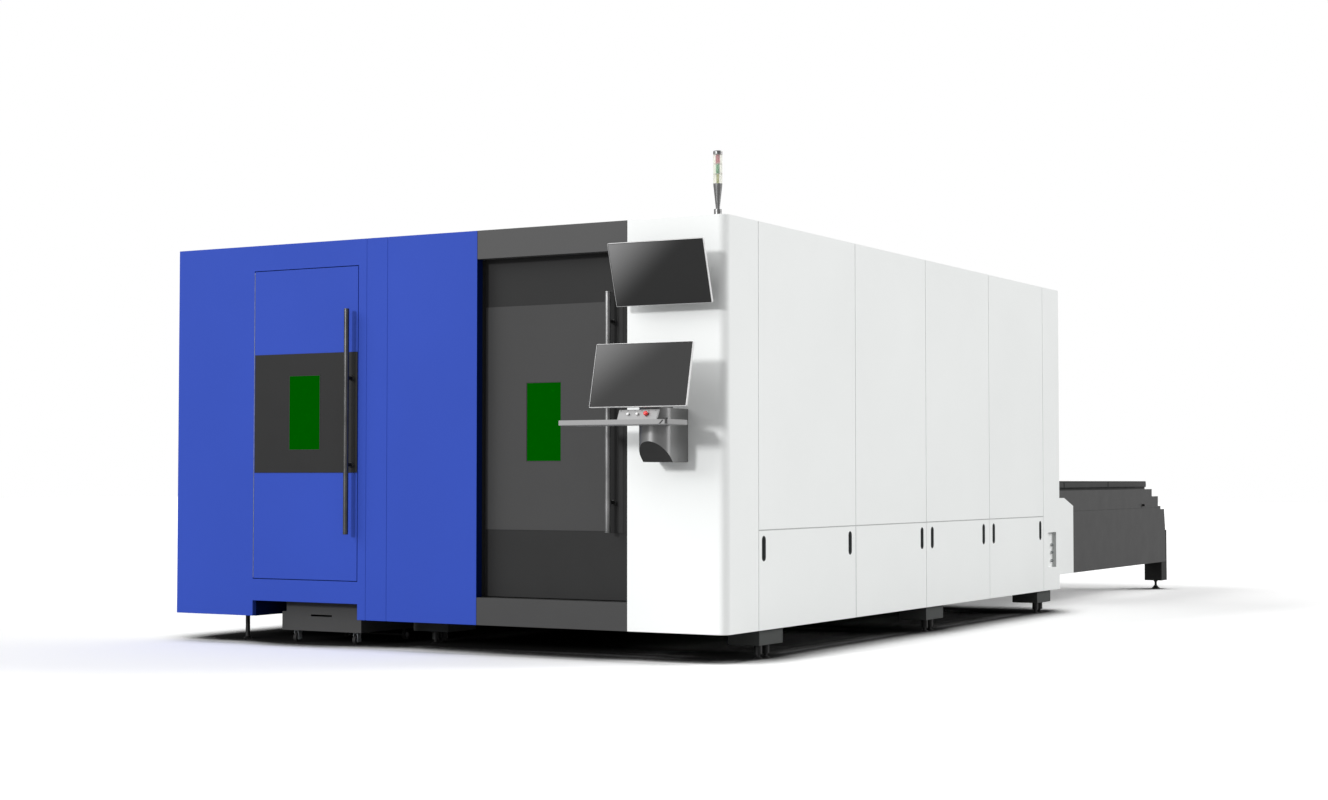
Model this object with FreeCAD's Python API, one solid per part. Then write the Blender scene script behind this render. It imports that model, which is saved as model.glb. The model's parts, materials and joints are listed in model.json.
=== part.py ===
import FreeCAD, Part
import math
import os

from FreeCAD import Vector

# Fiber laser cutting machine: a closed cabin round a gantry cutter, with a two-level
# exchange table behind it. Sizes are in millimetres. While it is modelled, x = 0 is the
# right-hand skin, y = 0 the front skin and z = 0 the floor; save() moves each piece into
# the part's own frame, whose origin is the middle of the footprint at floor level.

# ---- driving dimensions: cabin ----
WING_W = 1321.0            # blue wing with the hinged door
STRIP_W = 137.0            # narrow blue strip beside the wing
PILLAR_W = 572.0           # blue pillar, left of the sliding door
DOORWAY_W = 899.0          # opening between pillar and white column
COLUMN_W = 551.0           # white corner column, measured on the front
COLUMN_L = 346.0           # white corner column, measured along the side
COLUMN_R = 45.0            # rounded vertical corner
BAY_LENGTHS = (1161.0, 995.0, 1030.0, 1003.0)   # side panels, front to rear
REAR_BAY_L = 325.0         # last side panel, full height
CABIN_TOP = 2175.0
SKIRT_Z = 145.0            # underside of all cabin panels
COVER_TOP = 640.0          # seam between lower covers and upper side panels
SEAM = 5.0                 # visible gap between neighbouring panels
SHEET = 3.0                # sheet metal of the panels
PANEL_T = 30.0             # depth of the folded edges
PILLAR_T = 50.0            # the blue pillar and strip are folded deeper
HEADER_H = 148.0
HEADER_T = 60.0
SILL_H = 141.0
SILL_T = 70.0
RAIL = 50.0                # square tube of the cabin frame
RAIL_WALL = 3.0
ROOF_DROP = 10.0           # the roof pans lie this far below the cabin top

# ---- driving dimensions: doors, covers and handles ----
LEAF_GAP = 4.0             # gap round the hinged door
WING_DOOR_X = 548.0        # left skin to the wing door
WING_DOOR_W = 717.0        # door opening in the wing, also the width of the cart notch
WING_DOOR_Z = (347.0, 2035.0)
WING_FIELD_Z = (927.0, 1572.0)      # grey panel that holds the wing window
WING_FIELD_T = 3.0
FIELD_INSET = 5.0          # grey panel's inset from the hinge edge
WING_WINDOW = (250.0, 463.0, 1049.0, 1454.0)    # from the opening's left edge; heights
NOTCH_TOP = 229.0          # top of the cart notch under the wing door
DOOR_SETBACK = 78.0        # sliding door behind the front skin
DOOR_T = 40.0
DOOR_LAP_LEFT = 25.0       # sliding door behind the pillar when closed
DOOR_LAP_RIGHT = 6.0       # sliding door behind the column when closed
DOOR_HANG = 28.0           # sliding door's top below its track
DOOR_SILL_GAP = 4.0
DOOR_FIELD_Z = (634.0, 1782.0)      # raised lighter field on the sliding door
DOOR_FIELD_RIGHT = 150.0   # field's right edge from the doorway's right edge
DOOR_STILE_W = 95.0        # dark closing stile at the right edge
DOOR_STILE_Z = (625.0, 1830.0)
FIELD_PROUD = 2.0
DOOR_WINDOW = (255.0, 465.0, 983.0, 1387.0)     # from the doorway's left edge; heights
DOOR_TRAVEL = 680.0
GLASS_T = 8.0
GLASS_LIP = 8.0            # rebate behind each window
GLASS_CLEAR = 0.5
HANDLE_R = 14.0
HANDLE_EDGE_R = 2.0
HANDLE_L = 1202.0
HANDLE_STANDOFF = 63.0     # bar axis in front of the sliding door's face
WING_HANDLE_STANDOFF = 50.0         # bar axis in front of the wing's skin
HANDLE_FOOT_R = 8.0
DOOR_FOOT_INSET = 150.0    # feet from the bar's ends, on the sliding door
WING_FOOT_INSET = 370.0    # and on the wing door, where they stand on the grey panel
WING_HANDLE_EDGE = 41.0    # bar axis from the opening's right edge
WING_HANDLE_Z = 599.0      # lower end of the bar
DOOR_HANDLE_EDGE = 121.0   # bar axis from the doorway's right edge
DOOR_HANDLE_Z = 627.0
TRACK_W = 50.0
TRACK_H = 45.0
TRACK_WALL = 4.0
TRACK_SLOT = 14.0
TRACK_DROP = 67.0          # track's underside below the top of the cabin frame
ROLLER_R = 13.0
ROLLER_T = 12.0
HANGER_INSET = 120.0
RUN_CLEAR = 0.5            # gap of rolling and sliding pieces
PIN_R = 1.4                # piano hinge pins, in the gaps
PULL_W = 40.0
PULL_Z = (487.0, 611.0)
PULL_DEPTH = 18.0
PULL_INSETS = ((55.0, 76.0), (0.0, 67.0), (88.0, 105.0), (70.0, 65.0))
# each cover's pulls, from its front and rear seam; 0 means no pull at that end
RECESS_Y = (92.0, 253.0)   # service recess, from the front edge of the rear bay
RECESS_Z = (296.0, 531.0)
RECESS_DEPTH = 24.0
PORT_R = 10.5
PORT_INSET = 36.0          # ports' axes from the recess's rear edge
PORT_HEIGHTS = (446.0, 396.0, 340.0)

# ---- driving dimensions: operator's console ----
CONSOLE_X = 289.0          # console's middle plane, from the right skin
HOUSING_W = 164.0
HOUSING_FLAT = 170.0       # straight depth before the rounded nose
HOUSING_Z = (976.0, 1234.0)
HOUSING_CUT_Y = 154.0      # where the slanted underside starts
TRAY_FRONT = 380.0
TRAY_BACK = 176.0
TRAY_LEFT = 716.0
TRAY_RIGHT = 110.0
TRAY_Z = 1151.0
TRAY_T = 25.0
TRAY_R = 12.0
TRAY_WELL = 6.0
PANEL_X = 294.0            # button panel's middle, from the right skin
PANEL_FACE_W = 214.0
PANEL_FACE_FRONT = 350.0
PANEL_FACE_H = 47.0
PANEL_FACE_LEAN = 22.0
PANEL_PLATE_T = 14.0       # thick leaning plate that holds the buttons
PANEL_NECK_W = 116.0       # narrower block behind it, against the housing
BUTTON_PITCH = 50.0
BUTTON_R = 6.5
BUTTON_CAP_L = 9.0
BUTTON_STEM_R = 5.0
BUTTON_STEM_L = 14.0
BUTTON_STROKE = 3.0
STOP_R = 10.5
STOP_CAP_L = 14.0
STOP_STROKE = 5.0
MONITOR_W = 530.0
MONITOR_H = 315.0
MONITOR_T = 14.0
MONITOR_R = 4.0
MONITOR_BACK_W = 300.0     # thicker middle of the monitor's back
MONITOR_BACK_H = 170.0
MONITOR_BACK_T = 28.0
UPPER_MONITOR = (142.0, 1889.0, 17.0)    # face centre before the skin, height, lean
LOWER_MONITOR = (319.0, 1390.0, -13.0)
TILT_R = 10.0              # tilt barrel of a monitor
TILT_L = 60.0
TILT_CLEAR = 0.4
PIN_BITE = 1.0             # how far the tilt pin is let into each ear
ARM_T = 12.0
ARM_W = 60.0

# ---- driving dimensions: warning light ----
LIGHT_X = 70.0
LIGHT_Y = 50.0
LIGHT_R = 22.5
LIGHT_FOOT_R = 18.5
LIGHT_FOOT_H = 30.0
LIGHT_SEAT = 60.0          # half width of the column's cap round the light
LIGHT_NECK_R = 9.0
LIGHT_STEM_H = 124.0
LIGHT_TIER_H = 48.0
LIGHT_CAP_H = 17.0
LIGHT_TIERS = 3

# ---- driving dimensions: bed, gantry and pallets ----
BED_SKIN_CLEAR = 125.0     # right skin to the bed's right beam
PALLET_W = 1600.0
PALLET_L = 3062.0
PALLET_REAR = 7702.0       # rear end of the upper pallet, outside
PALLET_TRAVEL = 3480.0
PALLET_BEAM_W = 60.0
PALLET_BEAM_H = 47.0
PALLET_UNDERSIDES = (700.0, 823.0)   # of the lower and upper pallet beams
SKIRT_INSET = 8.0          # strip under each long beam, from its outer face
SKIRT_T = 12.0
SKIRT_H = 20.0
SLAT_T = 4.0
SLAT_COUNT = 30
SLAT_BELOW = 38.0          # slat below the beam's top
SLAT_ABOVE = 1.0           # slat tips above the beam's top
SLAT_NOTCH = 22.0
SLAT_TEETH = 15
WHEEL_R = 20.0
WHEEL_W = 30.0
WHEELS_PER_SIDE = 4
WHEEL_INSET = 230.0        # first and last wheel from the pallet's ends
TRACK_BAR_T = 12.0
TRACK_BAR_LAP = 60.0       # track bars reach this far under the pallet beams
BED_SIDE_CLEAR = 5.0       # bed beam beside the pallet
BED_BEAM_W = 120.0
BED_BEAM_Z = (180.0, 930.0)
BED_BEAM_Y = (250.0, 4815.0)
BED_WALL = 10.0
CROSS_W = 120.0
CROSS_TOP = 480.0
CROSS_Y = (250.0, 2440.0, 4695.0)
BRACKET_Y = (389.0, 2540.0, 4460.0)
BRACKET_L = 262.0
BRACKET_Z = 67.0
BRACKET_TOP = 143.0
BRACKET_RIGHT = (195.0, 20.0)        # from the right skin
BRACKET_LEFT_OUT = 155.0   # left brackets' reach beyond the bed's left beam
BRACKET_LEFT_W = 230.0
FOOT_RIGHT_X = 53.0        # right feet, from the right skin
FOOT_LEFT_INSET = 110.0    # left feet, from their brackets' left ends
FOOT_Y = (52.0, 132.0)     # two feet in each bracket, from its front
FOOT_R = 25.0
FOOT_H = 10.0
TABLE_FOOT_R = 38.0
TABLE_FOOT_H = 30.0
STEM_R = 9.0
NUT_R = 15.0
NUT_H = 12.0
SLEEVE_R = 20.0            # thick sleeves above the feet of the bed
SLEEVE_H = 45.0
WING_LEG_X = 3162.0
WING_LEG_Y = (231.0, 2425.0, 4600.0)
WING_LEG_R = 12.5
GUIDE_W = 30.0             # gantry guide rail
GUIDE_H = 25.0
RACK_W = 20.0
RACK_GAP = 10.0
GANTRY_Y = 800.0           # front of the gantry beam at rest
GANTRY_BEAM_L = 200.0      # along y
GANTRY_BEAM_H = 270.0
GANTRY_TRAVEL = 3100.0
END_L = 500.0
END_W = 140.0
END_H = 55.0
BEAM_WALL = 8.0
PINION_R = 15.0
MOTOR_W = 64.0
MOTOR_H = 190.0
HEAD_X = 350.0             # cutting head at rest, from the right skin
HEAD_TRAVEL_X = 1400.0
HEAD_TRAVEL_Z = 250.0
HEAD_W = 90.0
HEAD_BODY_H = 300.0
NOZZLE_Z = 1010.0          # nozzle tip at rest
NOZZLE_R = 4.0
SADDLE_W = 180.0
SADDLE_H = 220.0
COLUMN_Z_W = 120.0         # upright that guides the head
COLUMN_Z_T = 66.0
COLUMN_Z_TOP = 1560.0

# ---- driving dimensions: exchange table and rear cowl ----
PORT_Z = (640.0, 1060.0)   # pallet port in the rear wall
PORT_MARGIN = 20.0         # port beside the pallets
SKIN_MARGIN = 98.0         # table skin outside the pallet
TABLE_SKIN_T = 4.0
TABLE_BOTTOM = 220.0
TABLE_TOP = 808.0
TABLE_STEPS = ((7539.0, 750.0), (7708.0, 672.0), (7780.0, 646.0))   # each step's y, lower z
TABLE_SHOULDER_Y = 7879.0
TABLE_LEDGE = (7908.0, 475.0)
TABLE_END = 7954.0
TABLE_POST_W = 140.0
TABLE_POST_Z = 70.0
TABLE_BEAM_W = 70.0
TABLE_BEAM_Z = (500.0, 788.0)
TABLE_CROSS_Y = (4900.0, 5880.0, 6860.0)
TABLE_CROSS_W = 80.0
COWL_T = 4.0
COWL_GAP = 2.0
COWL_REAR = 5586.0
COWL_TOP = 756.0
COWL_CHAMFER = (195.0, 58.0)
DRIVE_Y = 7500.0
DRIVE_Z = 420.0
SHAFT_R = 20.0
SPROCKET_R = 55.0
SPROCKET_T = 15.0

# ---- driving dimensions: scrap cart, aisle and cabinets ----
CART_FRONT = 110.0
CART_W = 542.0
CART_L = 580.0
CART_Z = (67.0, 224.0)
CART_MARGIN = 118.0        # notch's left edge to the cart
CART_STEP = 30.0           # the cart's upper left edge is set in by this much
CART_STEP_Z = 168.0
CART_WALL = 3.0
CART_SLOT = (199.0, 343.0, 146.0, 156.0)  # pull slot: from the cart's left side; heights
CART_TRAVEL = 650.0
CASTER_R = 25.0
CASTER_T = 20.0
CASTER_INSET = (68.0, 66.0)  # swivel axis from the cart's front corners
CASTER_TRAIL = 18.0
CASTER_AXLE_R = 5.0
FORK_T = 3.0
FORK_CLEAR = 1.5
REAR_AXLE_Y = 490.0        # from the cart's front
BAY_DEPTH = 730.0
AISLE_FLOOR_Z = 327.0
CABINET_X = (3390.0, 2990.0)
CABINET_Y = (260.0, 1500.0)
CABINET_H = 1700.0
SOURCE_Y = (1600.0, 2900.0)
SOURCE_H = 900.0
CHUTE_T = 4.0
CHUTE_Z = (260.0, 480.0)   # scrap slide: left and right height

# ---- lines worked out from the driving dimensions ----
X_COLUMN = -COLUMN_W
X_DOORWAY = X_COLUMN - DOORWAY_W
X_PILLAR = X_DOORWAY - PILLAR_W
X_STRIP = X_PILLAR - STRIP_W
X_LEFT = X_STRIP - WING_W
CABIN_W = -X_LEFT
BAY_SEAMS = [COLUMN_L]
for bay_length in BAY_LENGTHS:
    BAY_SEAMS.append(BAY_SEAMS[-1] + bay_length)
CABIN_L = BAY_SEAMS[-1] + REAR_BAY_L
HALF_SEAM = SEAM / 2
WING_OPEN_X = (X_LEFT + WING_DOOR_X, X_LEFT + WING_DOOR_X + WING_DOOR_W)
WING_LEAF_X = (WING_OPEN_X[0] + LEAF_GAP, WING_OPEN_X[1] - LEAF_GAP)
WING_LEAF_Z = (WING_DOOR_Z[0] + LEAF_GAP, WING_DOOR_Z[1] - LEAF_GAP)
WING_PIVOT = (WING_OPEN_X[0] + LEAF_GAP / 2, 1.0)
ACCESS_PIVOT = (-1.5, BAY_SEAMS[1])
SILL_TOP = SKIRT_Z + SILL_H
HEADER_Z = CABIN_TOP - HEADER_H
DOOR_X = (X_DOORWAY - DOOR_LAP_LEFT, X_COLUMN + DOOR_LAP_RIGHT)
DOOR_Y = (DOOR_SETBACK, DOOR_SETBACK + DOOR_T)
TRACK_Y = (DOOR_Y[0] + DOOR_Y[1]) / 2
TRACK_X = (DOOR_X[0] - DOOR_TRAVEL - SEAM, DOOR_X[1] - SEAM)
FRAME_TOP = CABIN_TOP - ROOF_DROP - PANEL_T
TRACK_Z = FRAME_TOP - TRACK_DROP
DOOR_TOP = TRACK_Z - DOOR_HANG
DOOR_Z = (SILL_TOP + DOOR_SILL_GAP, DOOR_TOP)
FRAME_FRONT = TRACK_Y + TRACK_W / 2
FRAME_REAR = CABIN_L - PANEL_T - SEAM
FRAME_SKIN = PANEL_T + SEAM
BED_X = BED_SKIN_CLEAR + BED_BEAM_W + BED_SIDE_CLEAR + PALLET_W / 2   # middle of bed and table
PALLET_X = (-BED_X - PALLET_W / 2, -BED_X + PALLET_W / 2)
BED_TOP = BED_BEAM_Z[1]
BED_RIGHT = (PALLET_X[1] + BED_SIDE_CLEAR, PALLET_X[1] + BED_SIDE_CLEAR + BED_BEAM_W)
BED_LEFT = (PALLET_X[0] - BED_SIDE_CLEAR - BED_BEAM_W, PALLET_X[0] - BED_SIDE_CLEAR)
BRACKET_LEFT = (BRACKET_LEFT_OUT - BED_LEFT[0], BRACKET_LEFT_OUT - BED_LEFT[0] - BRACKET_LEFT_W)
FOOT_X = (FOOT_RIGHT_X, BRACKET_LEFT[0] - FOOT_LEFT_INSET)
WHEEL_DROP = 3.0           # wheel axis below the pallet beam's underside
GUIDE_TOP = BED_TOP + GUIDE_H
END_Z = GUIDE_TOP + RUN_CLEAR
GANTRY_Z = END_Z + END_H
GANTRY_X = (BED_LEFT[0] - 10.0, BED_RIGHT[1] + 10.0)
SADDLE_Y = GANTRY_Y + GANTRY_BEAM_L
SKIN_X = (PALLET_X[0] - SKIN_MARGIN, PALLET_X[1] + SKIN_MARGIN)
TABLE_TRACK_END = TABLE_STEPS[0][0] - SEAM
CART_X = (WING_OPEN_X[0] + CART_MARGIN, WING_OPEN_X[0] + CART_MARGIN + CART_W)
NOSE_R = HOUSING_W / 2
CONSOLE_FACE_Y = -(HOUSING_FLAT + NOSE_R)
LIGHT_TOP = CABIN_TOP + LIGHT_FOOT_H + LIGHT_STEM_H + LIGHT_TIERS * LIGHT_TIER_H + LIGHT_CAP_H
MID_X = -CABIN_W / 2
MID_Y = (TABLE_END - TRAY_FRONT) / 2
TO_FRAME = Vector(-MID_X, -MID_Y, 0)

X_AXIS = Vector(1, 0, 0)
Y_AXIS = Vector(0, 1, 0)
Z_AXIS = Vector(0, 0, 1)


# ---- small helpers ----
def box(x0, x1, y0, y1, z0, z1):
    return Part.makeBox(x1 - x0, y1 - y0, z1 - z0, Vector(x0, y0, z0))


def rod(x, y, z, axis, radius, length):
    """A round bar that starts at a point and runs along an axis."""
    return Part.makeCylinder(radius, length, Vector(x, y, z), axis)


def fuse(pieces):
    whole = pieces[0].fuse(pieces[1:]) if len(pieces) > 1 else pieces[0]
    return whole.removeSplitter()


def group(pieces):
    return Part.makeCompound(pieces)


def pan(x0, x1, y0, y1, z0, z1, open_to):
    """A sheet folded into a tray: closed on five sides, open towards open_to, such as "+y"."""
    low = [x0 + SHEET, y0 + SHEET, z0 + SHEET]
    high = [x1 - SHEET, y1 - SHEET, z1 - SHEET]
    axis = "xyz".index(open_to[1])
    if open_to[0] == "+":
        high[axis] = (x1, y1, z1)[axis] + SHEET
    else:
        low[axis] = (x0, y0, z0)[axis] - SHEET
    cavity = box(low[0], high[0], low[1], high[1], low[2], high[2])
    return box(x0, x1, y0, y1, z0, z1).cut(cavity)


def front_opening(panel, x, y, z):
    """Cuts an opening through a front panel and folds its edge back all round."""
    collar = box(x[0] - SHEET, x[1] + SHEET, y[0], y[1], z[0] - SHEET, z[1] + SHEET)
    hole = box(x[0], x[1], y[0] - SHEET, y[1] + SHEET, z[0], z[1])
    return fuse([panel, collar]).cut(hole)


def window_rebate(panel, x, y, z, seat_y):
    """Cuts a window opening whose back half is narrower, so that the glass has a seat."""
    collar = box(x[0] - SHEET, x[1] + SHEET, y[0], y[1], z[0] - SHEET, z[1] + SHEET)
    wide = box(x[0], x[1], y[0] - PANEL_T, seat_y, z[0], z[1])
    narrow = box(x[0] + GLASS_LIP, x[1] - GLASS_LIP, seat_y - 1, y[1] + 1, z[0] + GLASS_LIP, z[1] - GLASS_LIP)
    return fuse([panel, collar]).cut(wide).cut(narrow)


def tube(x0, x1, y0, y1, z0, z1, wall):
    """A square or oblong tube, open at both ends of its longest side."""
    sizes = [x1 - x0, y1 - y0, z1 - z0]
    inset = [wall, wall, wall]
    inset[sizes.index(max(sizes))] = -1
    hollow = box(x0 + inset[0], x1 - inset[0], y0 + inset[1], y1 - inset[1],
                 z0 + inset[2], z1 - inset[2])
    return box(x0, x1, y0, y1, z0, z1).cut(hollow)


def plate_from(points, push):
    """A flat outline of points, pushed along a vector into a plate."""
    wire = Part.makePolygon([Vector(*p) for p in points] + [Vector(*points[0])])
    return Part.Face(wire).extrude(push)


def obround(x0, x1, y, z0, z1, width):
    """A slot with round ends, standing upright, pushed along x."""
    radius = width / 2
    body = box(x0, x1, y - radius, y + radius, z0 + radius, z1 - radius)
    ends = [rod(x0, y, z, X_AXIS, radius, x1 - x0) for z in (z0 + radius, z1 - radius)]
    return fuse([body] + ends)


def spaced(first, last, count):
    return [first + (last - first) * i / (count - 1) for i in range(count)]


def save(node, shape):
    moved = shape.copy()
    moved.translate(TO_FRAME)
    assert moved.isValid(), node + " is not a valid shape"
    moved.exportStep("parts/" + node + ".step")


# ---- bed, feet, rails ----
def bed_frame():
    beams = [tube(x[0], x[1], BED_BEAM_Y[0], BED_BEAM_Y[1], BED_BEAM_Z[0], BED_BEAM_Z[1], BED_WALL)
             for x in (BED_RIGHT, BED_LEFT)]
    crosses = [tube(BED_LEFT[1], BED_RIGHT[0], y, y + CROSS_W, BED_BEAM_Z[0], cross_top, BED_WALL)
               for y, cross_top in zip(CROSS_Y, (CROSS_TOP, CHUTE_Z[0] - CHUTE_T, CROSS_TOP))]
    brackets = []
    for y in BRACKET_Y:
        for x, beam in ((BRACKET_RIGHT, BED_RIGHT), (BRACKET_LEFT, BED_LEFT)):
            brackets.append(box(-x[0], -x[1], y, y + BRACKET_L, BRACKET_Z, BRACKET_TOP))
            neck = (max(-x[0], beam[0]), min(-x[1], beam[1]))
            brackets.append(box(neck[0], neck[1], y, y + BRACKET_L, BRACKET_TOP, BED_BEAM_Z[0]))
    return fuse(beams + crosses + brackets)


def levelling_foot(x, y, top, stem_r, collar_r, collar_h, pad_r=FOOT_R, pad_h=FOOT_H):
    """A conical pad on a threaded stem, with a nut or sleeve under what it carries."""
    pad = Part.makeCone(pad_r, stem_r + 1, pad_h, Vector(x, y, 0))
    stem = rod(x, y, pad_h / 2, Z_AXIS, stem_r, top - pad_h / 2)
    collar = rod(x, y, top - collar_h, Z_AXIS, collar_r, collar_h)
    return fuse([pad, stem, collar])


def levelling_feet():
    feet = [levelling_foot(-x, y + dy, BRACKET_Z, STEM_R, SLEEVE_R, SLEEVE_H)
            for y in BRACKET_Y for x in FOOT_X for dy in FOOT_Y]
    feet += [levelling_foot(-WING_LEG_X, y, BRACKET_TOP, WING_LEG_R, WING_LEG_R + NUT_H / 3, NUT_H)
             for y in WING_LEG_Y]
    post_mid = TABLE_POST_W / 2 + TABLE_SKIN_T + 1
    for x in (SKIN_X[0] + post_mid, SKIN_X[1] - post_mid):
        feet.append(levelling_foot(x, TABLE_END - TABLE_SKIN_T - TABLE_POST_W / 2, TABLE_POST_Z,
                                   STEM_R, NUT_R, NUT_H, TABLE_FOOT_R, TABLE_FOOT_H))
    return group(feet)


def guide_x(side):
    """Middle of the gantry guide rail on the right (1) or left (-1) bed beam."""
    beam = BED_RIGHT if side > 0 else BED_LEFT
    return (beam[0] + beam[1]) / 2


def rack_x(side):
    """Near face of the gear rack, outboard of the guide rail."""
    return guide_x(side) + side * (GUIDE_W / 2 + RACK_GAP)


def gantry_rails():
    bars = []
    y = (BED_BEAM_Y[0] + CROSS_W, BED_BEAM_Y[1] - CROSS_W)
    for side in (1, -1):
        mid = guide_x(side)
        bars.append(box(mid - GUIDE_W / 2, mid + GUIDE_W / 2, y[0], y[1], BED_TOP, GUIDE_TOP))
        near = rack_x(side)
        bars.append(box(min(near, near + side * RACK_W), max(near, near + side * RACK_W),
                        y[0], y[1], BED_TOP, GUIDE_TOP))
    return group(bars)


def track_top(level):
    return level - WHEEL_DROP - WHEEL_R - RUN_CLEAR


def pallet_tracks():
    """Bars that the pallet wheels roll on: two levels, in the bed and on the table."""
    spans = ((BRACKET_Y[0], BED_BEAM_Y[1]), (CABIN_L + SEAM, TABLE_TRACK_END))
    bars = []
    for level in PALLET_UNDERSIDES:
        top = track_top(level)
        for y in spans:
            for side in (1, -1):
                outer = PALLET_X[1] + BED_SIDE_CLEAR if side > 0 else PALLET_X[0] - BED_SIDE_CLEAR
                inner = outer - side * (BED_SIDE_CLEAR + TRACK_BAR_LAP)
                bars.append(box(min(outer, inner), max(outer, inner), y[0], y[1], top - TRACK_BAR_T, top))
    return group(bars)


def scrap_chute():
    """A slanting sheet under the pallets that slides scrap towards the cart's side."""
    left, right = BED_LEFT[1] + SEAM, BED_RIGHT[0] - SEAM
    y = (CROSS_Y[0] + CROSS_W + SEAM, CROSS_Y[2] - SEAM)
    outline = [(left, y[0], CHUTE_Z[0]), (right, y[0], CHUTE_Z[1]),
               (right, y[0], CHUTE_Z[1] + CHUTE_T), (left, y[0], CHUTE_Z[0] + CHUTE_T)]
    return plate_from(outline, Vector(0, y[1] - y[0], 0))


# ---- cabin ----
def post(x, y, z0):
    return tube(x, x + RAIL, y, y + RAIL, z0, FRAME_TOP - RAIL, RAIL_WALL)


def cabin_frame():
    """Square tubes that the panels hang on; each bar is a straight piece of its own."""
    left, right = X_LEFT + FRAME_SKIN, -FRAME_SKIN - RAIL
    low = BRACKET_TOP
    bars = []
    for x in (left, right):
        y0 = PANEL_T + HALF_SEAM if x == left else FRAME_FRONT
        bars.append(tube(x, x + RAIL, y0, FRAME_REAR, low, low + RAIL, RAIL_WALL))
        bars.append(tube(x, x + RAIL, y0, FRAME_REAR, FRAME_TOP - RAIL, FRAME_TOP, RAIL_WALL))
    for y in [FRAME_FRONT] + [y - RAIL / 2 for y in BAY_SEAMS]:
        bars.append(post(left, y, low + RAIL))
        bars.append(post(right, y, low + RAIL))
    bars.append(post(left, FRAME_REAR - RAIL, low + RAIL))
    bars.append(post(-max(RECESS_DEPTH + SEAM, FRAME_SKIN) - RAIL, FRAME_REAR - RAIL, low + RAIL))
    bay_x = WING_OPEN_X[0] - SHEET - RAIL - 1
    bars.append(tube(bay_x, bay_x + RAIL, PANEL_T + HALF_SEAM, FRAME_REAR, low, low + RAIL, RAIL_WALL))
    for y in WING_LEG_Y:
        bars.append(tube(left + RAIL, bay_x, y - RAIL / 2, y + RAIL / 2, low, low + RAIL, RAIL_WALL))
    for y in (FRAME_FRONT, FRAME_REAR - RAIL):
        bars.append(tube(left + RAIL, right, y, y + RAIL, FRAME_TOP - RAIL, FRAME_TOP, RAIL_WALL))
    jamb_y = FRAME_FRONT
    for x in (X_COLUMN + DOOR_LAP_RIGHT, X_STRIP - RAIL / 2, bay_x):
        bars.append(post(x, jamb_y, AISLE_FLOOR_Z + SHEET + 1))
    return group(bars)


def wing_front_panel():
    x = (X_LEFT, X_STRIP - HALF_SEAM)
    panel = pan(x[0], x[1], 0, PANEL_T, SKIRT_Z, CABIN_TOP, "+y")
    panel = front_opening(panel, WING_OPEN_X, (0, PANEL_T), WING_DOOR_Z)
    return front_opening(panel, WING_OPEN_X, (0, PANEL_T), (SKIRT_Z - SEAM, NOTCH_TOP)).common(
        box(x[0], x[1], 0, PANEL_T, SKIRT_Z, CABIN_TOP))


def front_blue_panels():
    strip = pan(X_STRIP + HALF_SEAM, X_PILLAR - HALF_SEAM, 0, PILLAR_T, SKIRT_Z, CABIN_TOP, "+y")
    pillar = pan(X_PILLAR + HALF_SEAM, X_DOORWAY, 0, PILLAR_T, SKIRT_Z, CABIN_TOP, "+y")
    return group([strip, pillar])


def header_panel():
    return pan(X_DOORWAY + 1, X_COLUMN - 1, 0, HEADER_T, HEADER_Z, CABIN_TOP, "+y")


def door_sill():
    return pan(X_DOORWAY + 1, X_COLUMN - 1, 0, SILL_T, SKIRT_Z, SILL_TOP, "+y")


def rounded_block(inset, radius):
    whole = box(X_COLUMN + inset, -inset, inset, COLUMN_L - HALF_SEAM - inset, SKIRT_Z, CABIN_TOP)
    corner = [e for e in whole.Edges
              if abs(e.CenterOfMass.x + inset) < 0.01 and abs(e.CenterOfMass.y - inset) < 0.01]
    return whole.makeFillet(radius, corner)


def corner_column():
    """White sheet folded round the front right corner, with a cap that carries the light."""
    depth = PANEL_T + SEAM
    outer = rounded_block(0, COLUMN_R)
    inside = rounded_block(SHEET, COLUMN_R - SHEET)
    corner = box(X_COLUMN - 1, -depth, depth, COLUMN_L, SKIRT_Z - 1, CABIN_TOP + 1)
    cap = outer.common(box(-LIGHT_X - LIGHT_SEAT, 0, 0, LIGHT_Y + LIGHT_SEAT, CABIN_TOP - SHEET, CABIN_TOP))
    return fuse([outer.cut(inside).cut(corner), cap])


def side_upper_panels():
    panels = []
    for y0, y1 in zip(BAY_SEAMS[:-1], BAY_SEAMS[1:]):
        panels.append(pan(-PANEL_T, 0, y0 + HALF_SEAM, y1 - HALF_SEAM,
                          COVER_TOP + HALF_SEAM, CABIN_TOP, "-x"))
    return group(panels)


def side_rear_panel():
    """Full-height panel with the sunk service recess and its three round ports."""
    y0 = BAY_SEAMS[-1]
    panel = pan(-PANEL_T, 0, y0 + HALF_SEAM, CABIN_L, SKIRT_Z, CABIN_TOP, "-x")
    y, z = (y0 + RECESS_Y[0], y0 + RECESS_Y[1]), RECESS_Z
    collar = box(-RECESS_DEPTH - SHEET, 0, y[0] - SHEET, y[1] + SHEET, z[0] - SHEET, z[1] + SHEET)
    hole = box(-RECESS_DEPTH, 1, y[0], y[1], z[0], z[1])
    port_y = y[1] - PORT_INSET
    ports = [rod(-RECESS_DEPTH, port_y, height, X_AXIS, PORT_R, PORT_R) for height in PORT_HEIGHTS]
    return fuse([fuse([panel, collar]).cut(hole)] + ports)


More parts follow.
